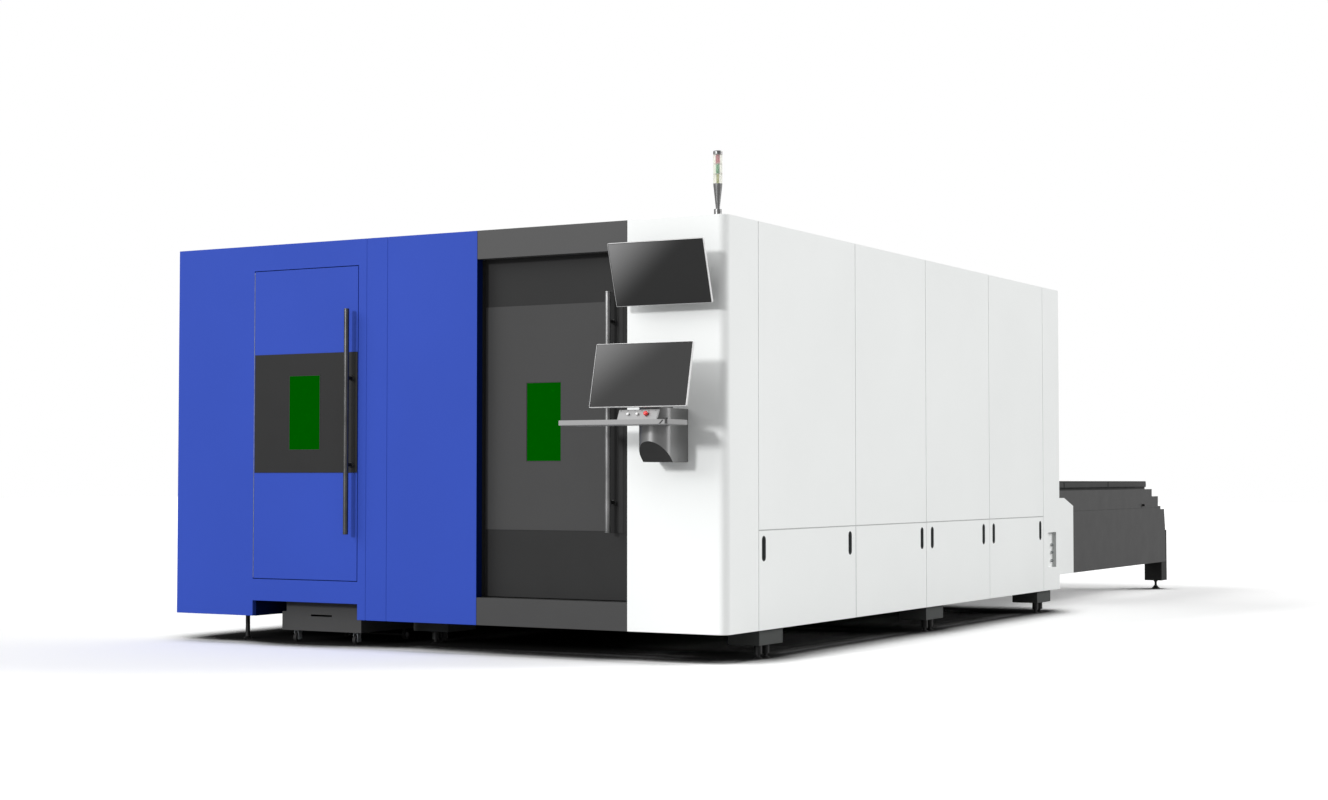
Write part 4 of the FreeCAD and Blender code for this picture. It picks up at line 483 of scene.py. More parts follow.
def settle(piece, finish, body, bevel=0.0):
    """Paints a piece, softens its edges and lets it ride on its body."""
    data = piece.data
    data.materials.clear()
    data.materials.append(finish)
    data.shade_smooth()
    data.set_sharp_from_angle(angle=math.radians(SMOOTH_DEGREES))
    if bevel:
        edge = piece.modifiers.new("soft_edges", "BEVEL")
        edge.width = bevel * MM
        edge.segments = 2
        edge.limit_method = "ANGLE"
        edge.angle_limit = math.radians(BEVEL_DEGREES)
        edge.harden_normals = True
        flat = piece.modifiers.new("flat_faces", "WEIGHTED_NORMAL")
        flat.weight = 100
        flat.keep_sharp = True
    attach(piece, body)
    print(piece.name, "on", body, len(data.polygons), "faces")
    return piece


def new_piece(name, mesh, finish, body="machine", bevel=0.0):
    """Turns a mesh in millimetres the right way out and makes it a piece of the machine."""
    bmesh.ops.recalc_face_normals(mesh, faces=mesh.faces)
    settle(shaped(name, mesh, MM), finish, body, bevel)


def block_piece(name, boxes, finish, body="machine", bevel=0.0):
    """A piece made only of blocks; each box is its x, y and z, as for a block."""
    mesh = bmesh.new()
    for x, y, z in boxes:
        block(mesh, x, y, z)
    new_piece(name, mesh, finish, body, bevel)


# %% [markdown]
# ## Dressing a CAD node
#
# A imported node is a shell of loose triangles. For a piece that is seen close by, a copy of it
# is welded and its flat faces are joined up. A bevel then has clean edges to follow. The copy
# stands for the node, which stays behind for the physics. Where a plain shape is enough, the
# node itself is kept and only painted.

# %% Dress a node, or just paint it
def dress(node, finish, bevel=1.0):
    """A welded copy of a node with softened edges, which stands for it."""
    mesh = bmesh.new()
    mesh.from_mesh(frame["nodes"][node].data)
    bmesh.ops.remove_doubles(mesh, verts=mesh.verts, dist=WELD_MM * MM)
    bmesh.ops.dissolve_limit(
        mesh, angle_limit=math.radians(FLAT_DEGREES), verts=mesh.verts, edges=mesh.edges)
    piece = settle(shaped(node + "_dressed", mesh), finish, BODY_OF[node], bevel)
    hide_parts(node)
    return piece


def paint(node, finish):
    """Gives a CAD node its material and leaves its shape as it is."""
    kept = frame["nodes"][node]
    if not kept.material_slots:
        kept.data.materials.append(finish)
    for holder in kept.material_slots:
        holder.material = finish


def paint_faces(piece, finish, inside):
    """Gives a second material to the faces whose middle, in millimetres, is inside."""
    piece.data.materials.append(finish)
    last = len(piece.data.materials) - 1
    chosen = 0
    for face in piece.data.polygons:
        if inside(face.center / MM, face.normal):
            face.material_index = last
            chosen += 1
    return chosen


# %% [markdown]
# ## Node trees that repeat
#
# Bolts, rack teeth, louvres and lens ribs are one small shape many times over. Two node trees
# do this work. The first sets a shape out in rows: so many along one step, and so many rows
# along another. The second sets it round a ring. Both have named inputs, so one tree serves
# every piece, and both end as real faces with their material.

# %% The row tree and the ring tree
def new_tree(name, sockets):
    """An empty geometry tree with named inputs; returns it with its two end nodes."""
    tree = bpy.data.node_groups.new(name, "GeometryNodeTree")
    tree.interface.new_socket("Geometry", in_out="OUTPUT", socket_type="NodeSocketGeometry")
    tree.interface.new_socket("Geometry", in_out="INPUT", socket_type="NodeSocketGeometry")
    for label, kind in sockets:
        tree.interface.new_socket(label, in_out="INPUT", socket_type="NodeSocket" + kind)
    return tree, add(tree, "NodeGroupInput").outputs, add(tree, "NodeGroupOutput")


def close_tree(tree, instances, material, end):
    """Turns the instances to faces and gives them their material."""
    faces = add(tree, "GeometryNodeRealizeInstances", {"Geometry": instances})
    painted = add(tree, "GeometryNodeSetMaterial", {
        "Geometry": faces.outputs[0], "Material": material})
    join(tree, end, {0: painted.outputs[0]})


ROWS, given, end = new_tree("set_out_in_rows", [
    ("Count", "Int"), ("Step", "Vector"), ("Rows", "Int"), ("Row Step", "Vector"),
    ("Material", "Material")])
line = add(ROWS, "GeometryNodeMeshLine", {"Count": given["Count"], "Offset": given["Step"]})
across = add(ROWS, "GeometryNodeMeshLine", {"Count": given["Rows"], "Offset": given["Row Step"]})
single = add(ROWS, "GeometryNodeInstanceOnPoints", {
    "Points": line.outputs[0], "Instance": given["Geometry"]})
field = add(ROWS, "GeometryNodeInstanceOnPoints", {
    "Points": across.outputs[0], "Instance": single.outputs[0]})
close_tree(ROWS, field.outputs[0], given["Material"], end)

RING, given, end = new_tree("set_out_round", [
    ("Count", "Int"), ("Centre", "Vector"), ("Axis", "Vector"), ("Material", "Material")])
spots = add(RING, "GeometryNodeMeshLine", {"Count": given["Count"], "Offset": (0.0, 0.0, 0.0)})
copies = add(RING, "GeometryNodeInstanceOnPoints", {
    "Points": spots.outputs[0], "Instance": given["Geometry"]})
share = add(RING, "ShaderNodeMath", {0: math.tau, 1: given["Count"]}, operation="DIVIDE")
place_number = add(RING, "GeometryNodeInputIndex")
angle = add(RING, "ShaderNodeMath", {0: share.outputs[0], 1: place_number.outputs[0]},
            operation="MULTIPLY")
turn = add(RING, "FunctionNodeAxisAngleToRotation", {
    "Axis": given["Axis"], "Angle": angle.outputs[0]})
turned = add(RING, "GeometryNodeRotateInstances", {
    "Instances": copies.outputs[0], "Rotation": turn.outputs[0],
    "Pivot Point": given["Centre"], "Local Space": False})
close_tree(RING, turned.outputs[0], given["Material"], end)

LENGTHS = ("step", "row_step", "centre")        # inputs that are given in millimetres


def repeated(name, cell, tree, finish, slot, body="machine", **inputs):
    """Lets a tree repeat a cell mesh in millimetres, and keeps the result as a plain mesh."""
    bmesh.ops.recalc_face_normals(cell, faces=cell.faces)
    piece = shaped(name, cell, MM)
    grown = piece.modifiers.new("repeat", "NODES")
    grown.node_group = tree
    inputs["material"] = finish
    for item in tree.interface.items_tree:
        key = item.name.replace(" ", "_").lower()
        if item.in_out == "INPUT" and key in inputs:
            value = inputs[key]
            grown[item.identifier] = [v * MM for v in value] if key in LENGTHS else value
    bpy.context.view_layer.update()
    full = piece.evaluated_get(bpy.context.evaluated_depsgraph_get())
    solid = bpy.data.meshes.new_from_object(full)
    piece.modifiers.clear()
    piece.data = solid
    solid.name = name
    settle(piece, finish, body)


def rows(name, cell, finish, slot, count, step, row_count=1, row_step=(0, 0, 0), body="machine"):
    """Repeats a cell along a step, and that line along a second step."""
    repeated(name, cell, ROWS, finish, slot, body, count=count, step=step, rows=row_count,
             row_step=row_step)


# %% [markdown]
# ## The blue front
#
# The wing, the strip and the pillar are folded trays of blue sheet. Between two trays there is
# a gap of a few millimetres, and behind it the flange of the next panel, so a seam looks like
# a thin darker line and not like a black slot. The flanges are thin strips set back in the gap.
# The door's stop is a frame behind the leaf, which closes the gap round it.

# %% Blue panels, their seam flanges and the wing door's stop
dress("wing_front_panel", BLUE, bevel=1.2)
pillar = dress("front_blue_panels", BLUE, bevel=1.2)
strip_x, doorway_x = edges("front_blue_panels")[0:2]
# The pillar's return, facing into the doorway, takes the darker blue: painted shade.
paint_faces(pillar, BLUE_PAINTED_SHADE, lambda c, n: n.x > 0.5 and c.x > doorway_x - 4)
# A black rubber strip in the gap between the pillar and the sliding door: painted shade of that
# gap.
GAP_SHADE_W, GAP_SHADE_Y = 12.0, (52.0, 75.5)
gap_shade_z = (edges("door_sill")[5] + 3, edges("header_panel")[4] - 2)
block_piece("doorway_brush", [((doorway_x - GAP_SHADE_W, doorway_x - 0.6),
                               [FRONT + y for y in GAP_SHADE_Y], gap_shade_z)], RUBBER)
wing_x1 = edges("wing_front_panel")[1]
SEAM = strip_x - wing_x1
PILLAR_SEAM_X = RIGHT - 2022.0
FLANGE_HALF, FLANGE_Y = SEAM * 0.45, (FRONT + 1.5, FRONT + 6.5)
block_piece("blue_seam_flanges",
            [((x - FLANGE_HALF, x + FLANGE_HALF), FLANGE_Y, (SKIRT + 2, TOP - 2))
             for x in ((wing_x1 + strip_x) / 2, PILLAR_SEAM_X)], BLUE)

DOOR_GAP, STOP_W, STOP_T = 4.0, 14.0, 5.0
leaf = edges("wing_door_leaf")
reveal = DOOR_GAP - 0.1
x0, x1, z0, z1 = leaf[0] - reveal, leaf[1] + reveal, leaf[4] - reveal, leaf[5] + reveal
stop_y = (leaf[3] + 1.0, leaf[3] + 1.0 + STOP_T)
between = (x0 + STOP_W, x1 - STOP_W)
sides = (((x0, x0 + STOP_W), (z0, z1)), ((x1 - STOP_W, x1), (z0, z1)),
         (between, (z0, z0 + STOP_W)), (between, (z1 - STOP_W, z1)))
block_piece("wing_door_stop", [(x, stop_y, z) for x, z in sides], BLUE)
print("seam", round(SEAM, 1), "mm")

# %% [markdown]
# ## The wing door
#
# The leaf is a shallow blue tray with a dark grey window panel screwed on. The green window is
# held by a thin black rubber bead, pressed in all round. The bead is one closed frame, made
# from an outer and an inner outline.

# %% Leaf, window panel, window and bead
def frame_ring(mesh, x, z, width, y, corner, steps=6):
    """Adds a flat frame: an outline in x and z, as wide as given, from y[0] to y[1]."""
    loops = []
    for inset in (0.0, width):
        radius = max(corner - inset, 0.01)
        x0, x1, z0, z1 = x[0] + inset, x[1] - inset, z[0] + inset, z[1] - inset
        points = []
        for cx, cz, start in ((x1 - radius, z1 - radius, 0), (x0 + radius, z1 - radius, 90),
                              (x0 + radius, z0 + radius, 180), (x1 - radius, z0 + radius, 270)):
            for i in range(steps + 1):
                a = math.radians(start + 90 * i / steps)
                points.append((cx + radius * math.cos(a), cz + radius * math.sin(a)))
        loops.append(points)
    outer, inner = loops
    rings = [[mesh.verts.new((px, yy, pz)) for px, pz in loop]
             for loop, yy in ((outer, y[0]), (inner, y[0]), (inner, y[1]), (outer, y[1]))]
    for a, b in zip(rings, rings[1:] + rings[:1]):
        band(mesh, a, b)


dress("wing_door_leaf", BLUE, bevel=1.5)
dress("wing_window_panel", WINDOW_PANEL_GREY, bevel=0.8)
dress("wing_door_window", WINDOW_GREEN, bevel=0.6)
dress("front_door_window", WINDOW_GREEN, bevel=0.6)
BEAD_W, BEAD_PROUD, BEAD_LAP = 3.0, 0.8, 0.3
for node in ("wing_door_window", "front_door_window"):
    x0, x1, y0, y1, z0, z1 = edges(node)
    bead = bmesh.new()
    frame_ring(bead, (x0 - BEAD_LAP, x1 + BEAD_LAP), (z0 - BEAD_LAP, z1 + BEAD_LAP), BEAD_W,
               (y0 - BEAD_PROUD, y0 + 2), corner=4.0)
    new_piece(node + "_bead", bead, GASKET, BODY_OF[node], bevel=0.3)

# %% [markdown]
# ## The sliding door
#
# The leaf has three tones: dark at the top and bottom, and a lighter raised field in between.
# They are one painted tray, so the field's faces simply take a second paint. The bar's shadow
# is painted beside it, as tall as the bar: a darker strip and a black strip with fine ribs,
# which the row tree sets out.

# %% Sliding leaf, its field and the painted shadow of its bar
sliding_leaf = dress("front_door_leaf", DOOR_DARK, bevel=1.2)
face_y = edges("front_door_leaf")[2]
DOORWAY_X1 = edges("corner_column")[0]
FIELD_X1 = DOORWAY_X1 - 150.0
FIELD_Z = (634.0, 1782.0)
lighter = paint_faces(sliding_leaf, DOOR_MID, lambda c, n: c.y < face_y + 1.9
                      and c.x < FIELD_X1 + 1 and FIELD_Z[0] - 1 < c.z < FIELD_Z[1] + 1)
print("field faces", lighter)

# Beside the bar and as tall as it: a darker strip, then a black ribbed strip, the bar's shadow
# painted on.
BAR_SHADOW_X = (DOORWAY_X1 - 104.0, DOORWAY_X1 - 67.0)
BAR_SHADOW_Z = (625.0, 1830.0)
RIB_COUNT, RIB_PITCH, RIB_W, RIB_INSET = 4, 8.0, 5.0, 2.0
block_piece("front_door_closing_stile",
            [((FIELD_X1 + 7, BAR_SHADOW_X[0]), (face_y + 0.6, face_y + 2.2), BAR_SHADOW_Z)],
            BAR_SHADE_DARK, "front_door", bevel=0.4)
block_piece("front_door_seal", [(BAR_SHADOW_X, (face_y - 1.5, face_y + 2.2), BAR_SHADOW_Z)],
            GASKET, "front_door", bevel=0.5)
rib = bmesh.new()
block(rib, (BAR_SHADOW_X[0] + RIB_INSET, BAR_SHADOW_X[0] + RIB_INSET + RIB_W), (face_y - 3.0, face_y - 1.4),
      (BAR_SHADOW_Z[0] + RIB_INSET, BAR_SHADOW_Z[1] - RIB_INSET))
rows("front_door_seal_ribs", rib, GASKET, "black_plastic", RIB_COUNT, (RIB_PITCH, 0, 0),
     body="front_door")

dress("header_panel", HEADER_GREY, bevel=1.2)
dress("door_sill", SILL_GREY, bevel=1.2)
paint("door_track", GROUND_STEEL)

# %% [markdown]
# ## Bar handles
#
# Both doors are pulled by a round steel bar, 1.2 m long, that stands off the door on two feet.
# The CAD bar is right, so it is dressed. Each foot gets what holds a real one: a flange on
# the door, with a collar where it meets the bar. On the sliding door the feet are black.

# %% Handle bars, collars and flanges
BAR_R = 14.0
for node, bar_finish, foot_finish, inset in (
        ("wing_door_handle", DARK_BAR, BLACK_OXIDE, 370.0),
        ("front_door_handle", HANDLE_STEEL, BLACK_ABS, 150.0)):
    dress(node, bar_finish, bevel=0.0)
    x0, x1, y0, y1, z0, z1 = edges(node)
    middle_x, bar_y = (x0 + x1) / 2, y0 + BAR_R
    collar = (bar_y + 9, bar_y + 24, 13, 10)
    flange = (y1 - 7, y1, 12, 17)
    stem = (bar_y + 22, y1 - 6, 9.2, 9.2)
    feet = bmesh.new()
    for z in (z0 + inset, z1 - inset):
        for near, far, near_r, far_r in (collar, flange, stem):
            rod(feet, (middle_x, near, z), (middle_x, far, z), near_r, far_r)
    new_piece(node + "_feet", feet, foot_finish, BODY_OF[node], bevel=0.8)
    caps = bmesh.new()
    for z, tip in ((z0, -1), (z1, 1)):
        rod(caps, (middle_x, bar_y, z - tip * 8), (middle_x, bar_y, z - tip * 0.2),
            BAR_R + 0.3, BAR_R - 1.5, sides=32)
    new_piece(node + "_caps", caps, BLACK_OXIDE, BODY_OF[node], bevel=0.6)

# %% [markdown]
# ## White cabin
#
# The corner column is one sheet rolled round a 45 mm radius, and the side is four bays of
# panel over a row of lift-off covers. Their seams are closed by flanges set back in the gap,
# like those of the blue front, but painted light grey: painted shade in the seams.

# %% Column, side, rear and roof
for node in ("corner_column", "side_upper_panels", "lower_cover_front", "access_door",
             "lower_cover_middle", "lower_cover_rear"):
    dress(node, WHITE, bevel=1.2)
rear_side = dress("side_rear_panel", WHITE, bevel=1.2)
RECESS_Y, RECESS_Z = (FRONT + 4620.0, FRONT + 4795.0), (290.0, 535.0)


def in_recess(c):
    """Tells a point of the service recess from one of the skin round it."""
    return (c.x < RIGHT - 4 and RECESS_Y[0] < c.y < RECESS_Y[1]
            and RECESS_Z[0] < c.z < RECESS_Z[1])


# The recess's side walls and its top are painted darker than the skin: painted shade in the recess.
walls = paint_faces(rear_side, WHITE_PAINTED_SHADE, lambda c, n: in_recess(c) and abs(n.y) > 0.5)
tops = paint_faces(rear_side, RECESS_PAINTED_SHADE, lambda c, n: in_recess(c) and n.z < -0.5)
print("recess walls", walls, "top", tops)
dress("rear_cowls", WHITE, bevel=1.0)
dress("left_rear_walls", WHITE, bevel=1.2)
dress("roof_panels", WHITE, bevel=1.2)

# %% The seam flanges, painted light grey as shade in the seams
SEAM_Y = [FRONT + y for y in (346.0, 1507.0, 2502.0, 3532.0, 4535.0)]
HALF = SEAM * 0.38
NEAR, DEEP = 4.0, 10.0          # how far behind its skin a flange lies
cover_top = edges("lower_cover_front")[5]
upper_low = edges("side_upper_panels")[4]
flange_x = (RIGHT - DEEP, RIGHT - NEAR)
boxes = []
for i, y in enumerate(SEAM_Y):
    boxes.append((flange_x, (y - HALF, y + HALF), (upper_low, TOP - 2)))
    if i != 1:      # the access door's hinge is behind that one
        boxes.append((flange_x, (y - HALF, y + HALF), (SKIRT + 2, cover_top)))
level_seam = cover_top + SEAM / 2
boxes.append((flange_x, (SEAM_Y[0], SEAM_Y[-1]), (level_seam - HALF, level_seam + HALF)))
block_piece("side_seam_flanges", boxes, WHITE_PAINTED_SHADE)

left_skin = edges("left_rear_walls")[0]
roof = edges("roof_panels")
seams = [(y - HALF, y + HALF) for y in SEAM_Y[1:-1]]
boxes = [((left_skin + NEAR, left_skin + DEEP), y, (SKIRT + 2, TOP - 2)) for y in seams]
boxes += [((roof[0] + NEAR, roof[1] - NEAR), y, (roof[5] - DEEP, roof[5] - NEAR)) for y in seams]
block_piece("far_seam_flanges", boxes, WHITE_PAINTED_SHADE)

# %% [markdown]
# ## Oval pulls
#
# Each cover is opened with a finger pull: a dark moulded cup, pressed into an oval hole, with a
# thin lip on the outside. One cup is modelled from stacked ovals. The row tree sets it out as
# often as its cover needs, so that every cup rides with its own cover.

# %% Pull cups, one set for each cover
PULL_Z = (487.0, 611.0)
PULL_W, PULL_DEPTH, LIP = 40.0, 18.0, 1.6
PULL_PLACES = {"lower_cover_front": (401.0, 1431.0), "access_door": (2435.0,),
               "lower_cover_middle": (2590.0, 3427.0), "lower_cover_rear": (3602.0, 4470.0)}


def oval(y, half_width, z, grow, steps=10):
    """Points of an upright oval with round ends."""
    radius = half_width + grow
    points = []
    for middle, sign in ((z[1] - half_width, 1), (z[0] + half_width, -1)):
        for i in range(steps + 1):
            a = math.pi * i / steps
            points.append((y + sign * radius * math.cos(a), middle + sign * radius * math.sin(a)))
    return points


def pull_cup(y):
    """A cup with a lip, an inner wall and a floor, at one place along the side."""
    cup = bmesh.new()
    back = RIGHT - PULL_DEPTH
    inside = [(RIGHT - 0.1, LIP), (RIGHT + 0.7, LIP - 0.4), (RIGHT + 0.7, -1.0),
              (RIGHT - 1.0, -2.0), (back + 4, -4.0), (back + 1.2, -8.0)]
    outside = [(back + 0.2, -0.4), (RIGHT - 0.1, -0.4)]
    rings = [[cup.verts.new((x, py, pz)) for py, pz in oval(y, PULL_W / 2, PULL_Z, grow)]
             for x, grow in inside + outside]
    for a, b in ((0, 1), (1, 2), (2, 3), (3, 4), (4, 5), (6, 7), (7, 0)):
        band(cup, rings[a], rings[b])
    cup.faces.new(rings[5])
    cup.faces.new(rings[6][::-1])
    return cup


for node, places in PULL_PLACES.items():
    rows(node + "_pulls", pull_cup(FRONT + places[0]), PULL_ABS, "black_plastic", len(places),
         (0, places[-1] - places[0], 0), body=node)

# %% [markdown]
# ## Service recess
#
# Gas, water and signal lines plug in at the rear of the side. The recess is part of the panel.
# Each port gets a hexagon nut and a sleeve, turned about one axis, and a black disc at the
# sleeve's end: painted shade in place of the bore.

# %% Couplings in the recess
PORT_X, PORT_Y, PORT_HEIGHTS = RIGHT - 13.5, FRONT + 4752.0, (340.0, 396.0, 446.0)
couplings, bore_shades = bmesh.new(), bmesh.new()
for z in PORT_HEIGHTS:
    rod(couplings, (PORT_X - 6, PORT_Y, z), (PORT_X + 1, PORT_Y, z), 11.5, sides=6)
    rod(couplings, (PORT_X + 1, PORT_Y, z), (PORT_X + 5, PORT_Y, z), 7.5)
    rod(bore_shades, (PORT_X + 4.5, PORT_Y, z), (PORT_X + 5.3, PORT_Y, z), 4)
new_piece("service_couplings", couplings, ZINC, bevel=0.5)
# The bores are black discs, not holes: painted shade.
new_piece("service_coupling_bores", bore_shades, BLACK_ABS)

# %% [markdown]
# ## Ventilation louvres
#
# The electrical cabinet stands behind the left wall and needs air. Louvres are pressed out of
# the sheet: a slit with a hood over it. One hood is a short roof-shaped plate, and the row tree
# sets it out in two banks.

# %% Louvres in the left wall
HOOD_L, HOOD_OUT, HOOD_PITCH, BANK_PITCH = 130.0, 5.0, 22.0, 170.0
WALL_HOODS = 14


def hood(x, y, z, out):
    """One louvre: a sloping hood, closed at its ends."""
    cell = bmesh.new()
    lip = x + out * HOOD_OUT
    plate(cell, [(x, y, z), (lip, y, z), (lip, y, z + 3), (x, y, z + 11)], (0, HOOD_L, 0))
    return cell


for name, y, z in (("wall_louvres", 640.0, 1500.0), ("wall_louvres_low", 2000.0, 420.0)):
    rows(name, hood(left_skin, FRONT + y, z, -1), WHITE, "white_paint", WALL_HOODS,
         (0, 0, HOOD_PITCH), 2, (0, BANK_PITCH, 0))

# %% [markdown]
# ## Monitors
#
# Two flat screens hang over the console: the lower one leans back, the upper one leans down
# towards the operator. The light rim is a satin frame round the dark glass. The rim and glass
# are built upright at the origin and then set in the leaning plane of the CAD monitor.

# %% Rims, glass and rear vents
MONITOR_W, MONITOR_H, MONITOR_T, MONITOR_BACK = 530.0, 315.0, 14.0, 42.0
RIM_W, BORDER_W = 3.4, 2.2
VENT_COUNT, VENT_PITCH, VENT_X, VENT_Z = 20, 11.3, (-110.0, -104.0), (52.0, 72.0)
MONITOR_X = RIGHT - 289.0
# In front of the front skin, above the floor, and degrees of lean.
MONITORS = {"upper_monitor": (142.0, 1889.0, 17.0), "lower_monitor": (319.0, 1390.0, -13.0)}
# Each screen's dark tone and the pale tone of its painted reflection; the lower screen is painted
# darker.
SCREEN_REFLECTION_TONES = {"upper_monitor": ("2C2C2C", "8E8E8E"), "lower_monitor": ("202020", "727272")}


def outline(grow):
    """A screen's x and z outline round the origin, grown by so much on each side."""
    w, h = MONITOR_W / 2 + grow, MONITOR_H / 2 + grow
    return (-w, w), (-h, h)


for node, (reach, height, degrees) in MONITORS.items():
    dress(node, BLACK_ABS, bevel=1.5)
    middle = (MONITOR_X, FRONT - reach, height)
    plane = Matrix.Translation(middle) @ Matrix.Rotation(math.radians(degrees), 4, "X")
    rim, border, glass, vent = (bmesh.new() for _ in range(4))
    frame_ring(rim, *outline(0.6), RIM_W, (-0.6, MONITOR_T - 0.5), corner=4.0)
    frame_ring(border, *outline(-1.4), BORDER_W, (-1.0, 0.8), corner=3.0)
    across_glass, up_glass = outline(-1)
    block(glass, across_glass, (-0.4, 0.8), up_glass)
    block(vent, VENT_X, (MONITOR_BACK - 1, MONITOR_BACK + 0.4), VENT_Z)
    for mesh in (rim, border, glass, vent):
        bmesh.ops.transform(mesh, matrix=plane, verts=mesh.verts)
    new_piece(node + "_rim", rim, MONITOR_RIM, node, bevel=0.8)
    new_piece(node + "_border", border, GASKET, node, bevel=0.3)
    glass_finish = screen_with_painted_reflection(node + "_coated_glass", [v * MM for v in middle], *SCREEN_REFLECTION_TONES[node])
    new_piece(node + "_glass", glass, glass_finish, node)
    rows(node + "_vents", vent, BLACK_OXIDE, "black_plastic", VENT_COUNT, (VENT_PITCH, 0, 0),
         body=node)

# %% [markdown]
# ## Operator's console
#
# The housing is a sheet-metal column with a half-round nose, cut off at a slant below. The tray
# wraps round it. The control panel carries two white buttons and a red emergency stop, each in
# a plated ring, and a row of small screws along its upper edge.

# %% Housing, tray, panel and buttons
housing = dress("console_housing", CONSOLE_GREY, bevel=1.5)
# The housing's downward faces, its slanted underside, are painted dark: painted shade.
paint_faces(housing, UNDERSIDE_PAINTED_SHADE, lambda c, n: n.z < -0.3)
for node, finish, bevel in (
        ("keyboard_tray", TRAY_GREY, 3.0), ("button_panel", PANEL_GREY, 1.2),
        ("monitor_arms", CONSOLE_GREY, 1.2), ("push_button_left", BUTTON_WHITE, 0.0),
        ("push_button_right", BUTTON_WHITE, 0.0), ("emergency_stop", STOP_RED, 0.0)):
    dress(node, finish, bevel)

panel = edges("button_panel")
PANEL_LEAN, PANEL_H = 22.0, 47.0
BUTTON_PITCH, BUTTON_RING_R, STOP_RING_R = 50.0, 8.2, 12.4
SCREW_COUNT, SCREW_PITCH, SCREW_UP = 6, 38.0, 20.5
out = Vector((0, -PANEL_H, PANEL_LEAN)).normalized()
up = Vector((0, PANEL_LEAN, PANEL_H)).normalized()
middle = Vector(((panel[0] + panel[1]) / 2, panel[2] + PANEL_LEAN / 2, panel[4] + PANEL_H / 2))
rings = bmesh.new()
for offset, radius in ((-BUTTON_PITCH, BUTTON_RING_R), (0.0, BUTTON_RING_R),
                       (BUTTON_PITCH, STOP_RING_R)):
    seat = middle + Vector((offset, 0, 0))
    rod(rings, seat - out * 0.5, seat + out * 0.9, radius, radius - 0.6, sides=32)
new_piece("button_rings", rings, CONSOLE_GREY, bevel=0.3)
screw = bmesh.new()
first = middle + Vector((-SCREW_PITCH * (SCREW_COUNT - 1) / 2, 0, 0)) + up * SCREW_UP
rod(screw, first - out * 0.5, first + out * 1.2, 2.2, 1.8, sides=12)
rows("control_panel_screws", screw, BLACK_OXIDE, "zinc_steel", SCREW_COUNT, (SCREW_PITCH, 0, 0))

# %% The clamp at the tray's end
tray = edges("keyboard_tray")
tray_y, tray_low, tray_top = tray[2], tray[4], tray[5]
CLAMP_X = (tray[1] - 54.0, tray[1] - 3.0)
clamp = bmesh.new()
block(clamp, CLAMP_X, (tray_y - 1.5, tray_y + 10), (tray_top - 0.5, tray_top + 6))
block(clamp, (CLAMP_X[1] - 10, CLAMP_X[1]), (tray_y - 2.5, tray_y + 12),
      (tray_low + 3, tray_top + 6))
BRACE = ((8, tray_low + 3), (16, tray_low + 3), (35, tray_top - 4), (26, tray_top - 4))
plate(clamp, [(CLAMP_X[0] + x, tray_y - 1.8, z) for x, z in BRACE], (0, 2.2, 0))
new_piece("tray_clamp", clamp, BLACK_ABS, bevel=1.0)

# %% [markdown]
# ## Warning light
#
# The light is a stack of three clear lenses on a stem that widens upwards. The colour comes
# from a core inside each lens. Real lenses have upright ribs inside that spread the light: one
# rib is a thin strip, and the ring tree sets it round.

# %% Stem, lenses, cores and ribs
dress("tower_light_body", LIGHT_CHROME, bevel=0.6)
dress("tower_light_lenses", LENS_CLEAR, bevel=0.5)
lens = edges("tower_light_lenses")
lamp_x, lamp_y = (lens[0] + lens[1]) / 2, (lens[2] + lens[3]) / 2
LENS_R, RIB_COUNT = 22.0, 24
CORES = (("yellow", LAMP_YELLOW, 7), ("green", LAMP_GREEN, 9), ("red", LAMP_RED, 10))
tier = (lens[5] - lens[4]) / len(CORES)
for i, (name, finish, radius) in enumerate(CORES):
    z0 = lens[4] + i * tier
    core = bmesh.new()
    rod(core, (lamp_x, lamp_y, z0 + 2), (lamp_x, lamp_y, z0 + tier - 2), radius)
    new_piece("lamp_core_" + name, core, finish, bevel=1.0)
joints = bmesh.new()
for i in range(len(CORES) + 1):
    z = lens[4] + i * tier
    rod(joints, (lamp_x, lamp_y, z - 0.6), (lamp_x, lamp_y, z + 0.6), LENS_R, sides=40)
new_piece("lens_joint_rings", joints, LENS_CLEAR, bevel=0.4)
rib = bmesh.new()
block(rib, (lamp_x + LENS_R - 1, lamp_x + LENS_R), (lamp_y - 0.8, lamp_y + 0.8),
      (lens[4] + 1.5, lens[5] - 1.5))
repeated("lens_ribs", rib, RING, LENS_CLEAR, "lamp_lens", count=RIB_COUNT,
         centre=(lamp_x, lamp_y, 0), axis=(0, 0, 1))

# %% [markdown]
# ## Feet, bed and cabin frame
#
# What carries the machine is painted dark: brackets under the bed, sleeves and pads on the
# floor. The frame behind the panels is seen only through an open door, so it is painted and
# left as it is.

# %% Structure
dress("levelling_feet", BLACK_OXIDE, bevel=0.8)
dress("bed_frame", BED_GREY, bevel=1.5)
for node, finish in (("cabin_frame", BED_GREY), ("gantry_rails", GROUND_STEEL),
                     ("pallet_tracks", GROUND_STEEL), ("scrap_chute", SLAT_STEEL),
                     ("hinge_pins", ZINC), ("exchange_drive", BED_GREY)):
    paint(node, finish)
# The cart bay's liner takes the darker blue: painted shade in the bay under the wing.
dress("cart_bay_liner", BLUE_PAINTED_SHADE, bevel=0.8)

# %% [markdown]
# ## Rack teeth and rail bolts
#
# The gantry is driven by a pinion on a straight rack. Its teeth are one small trapezoid, set
# out by the row tree every 12 mm. That is coarser than the real pitch, so that they still show.
# The guide rails are bolted down every 240 mm, and a dark plug closes each bolt's hole.

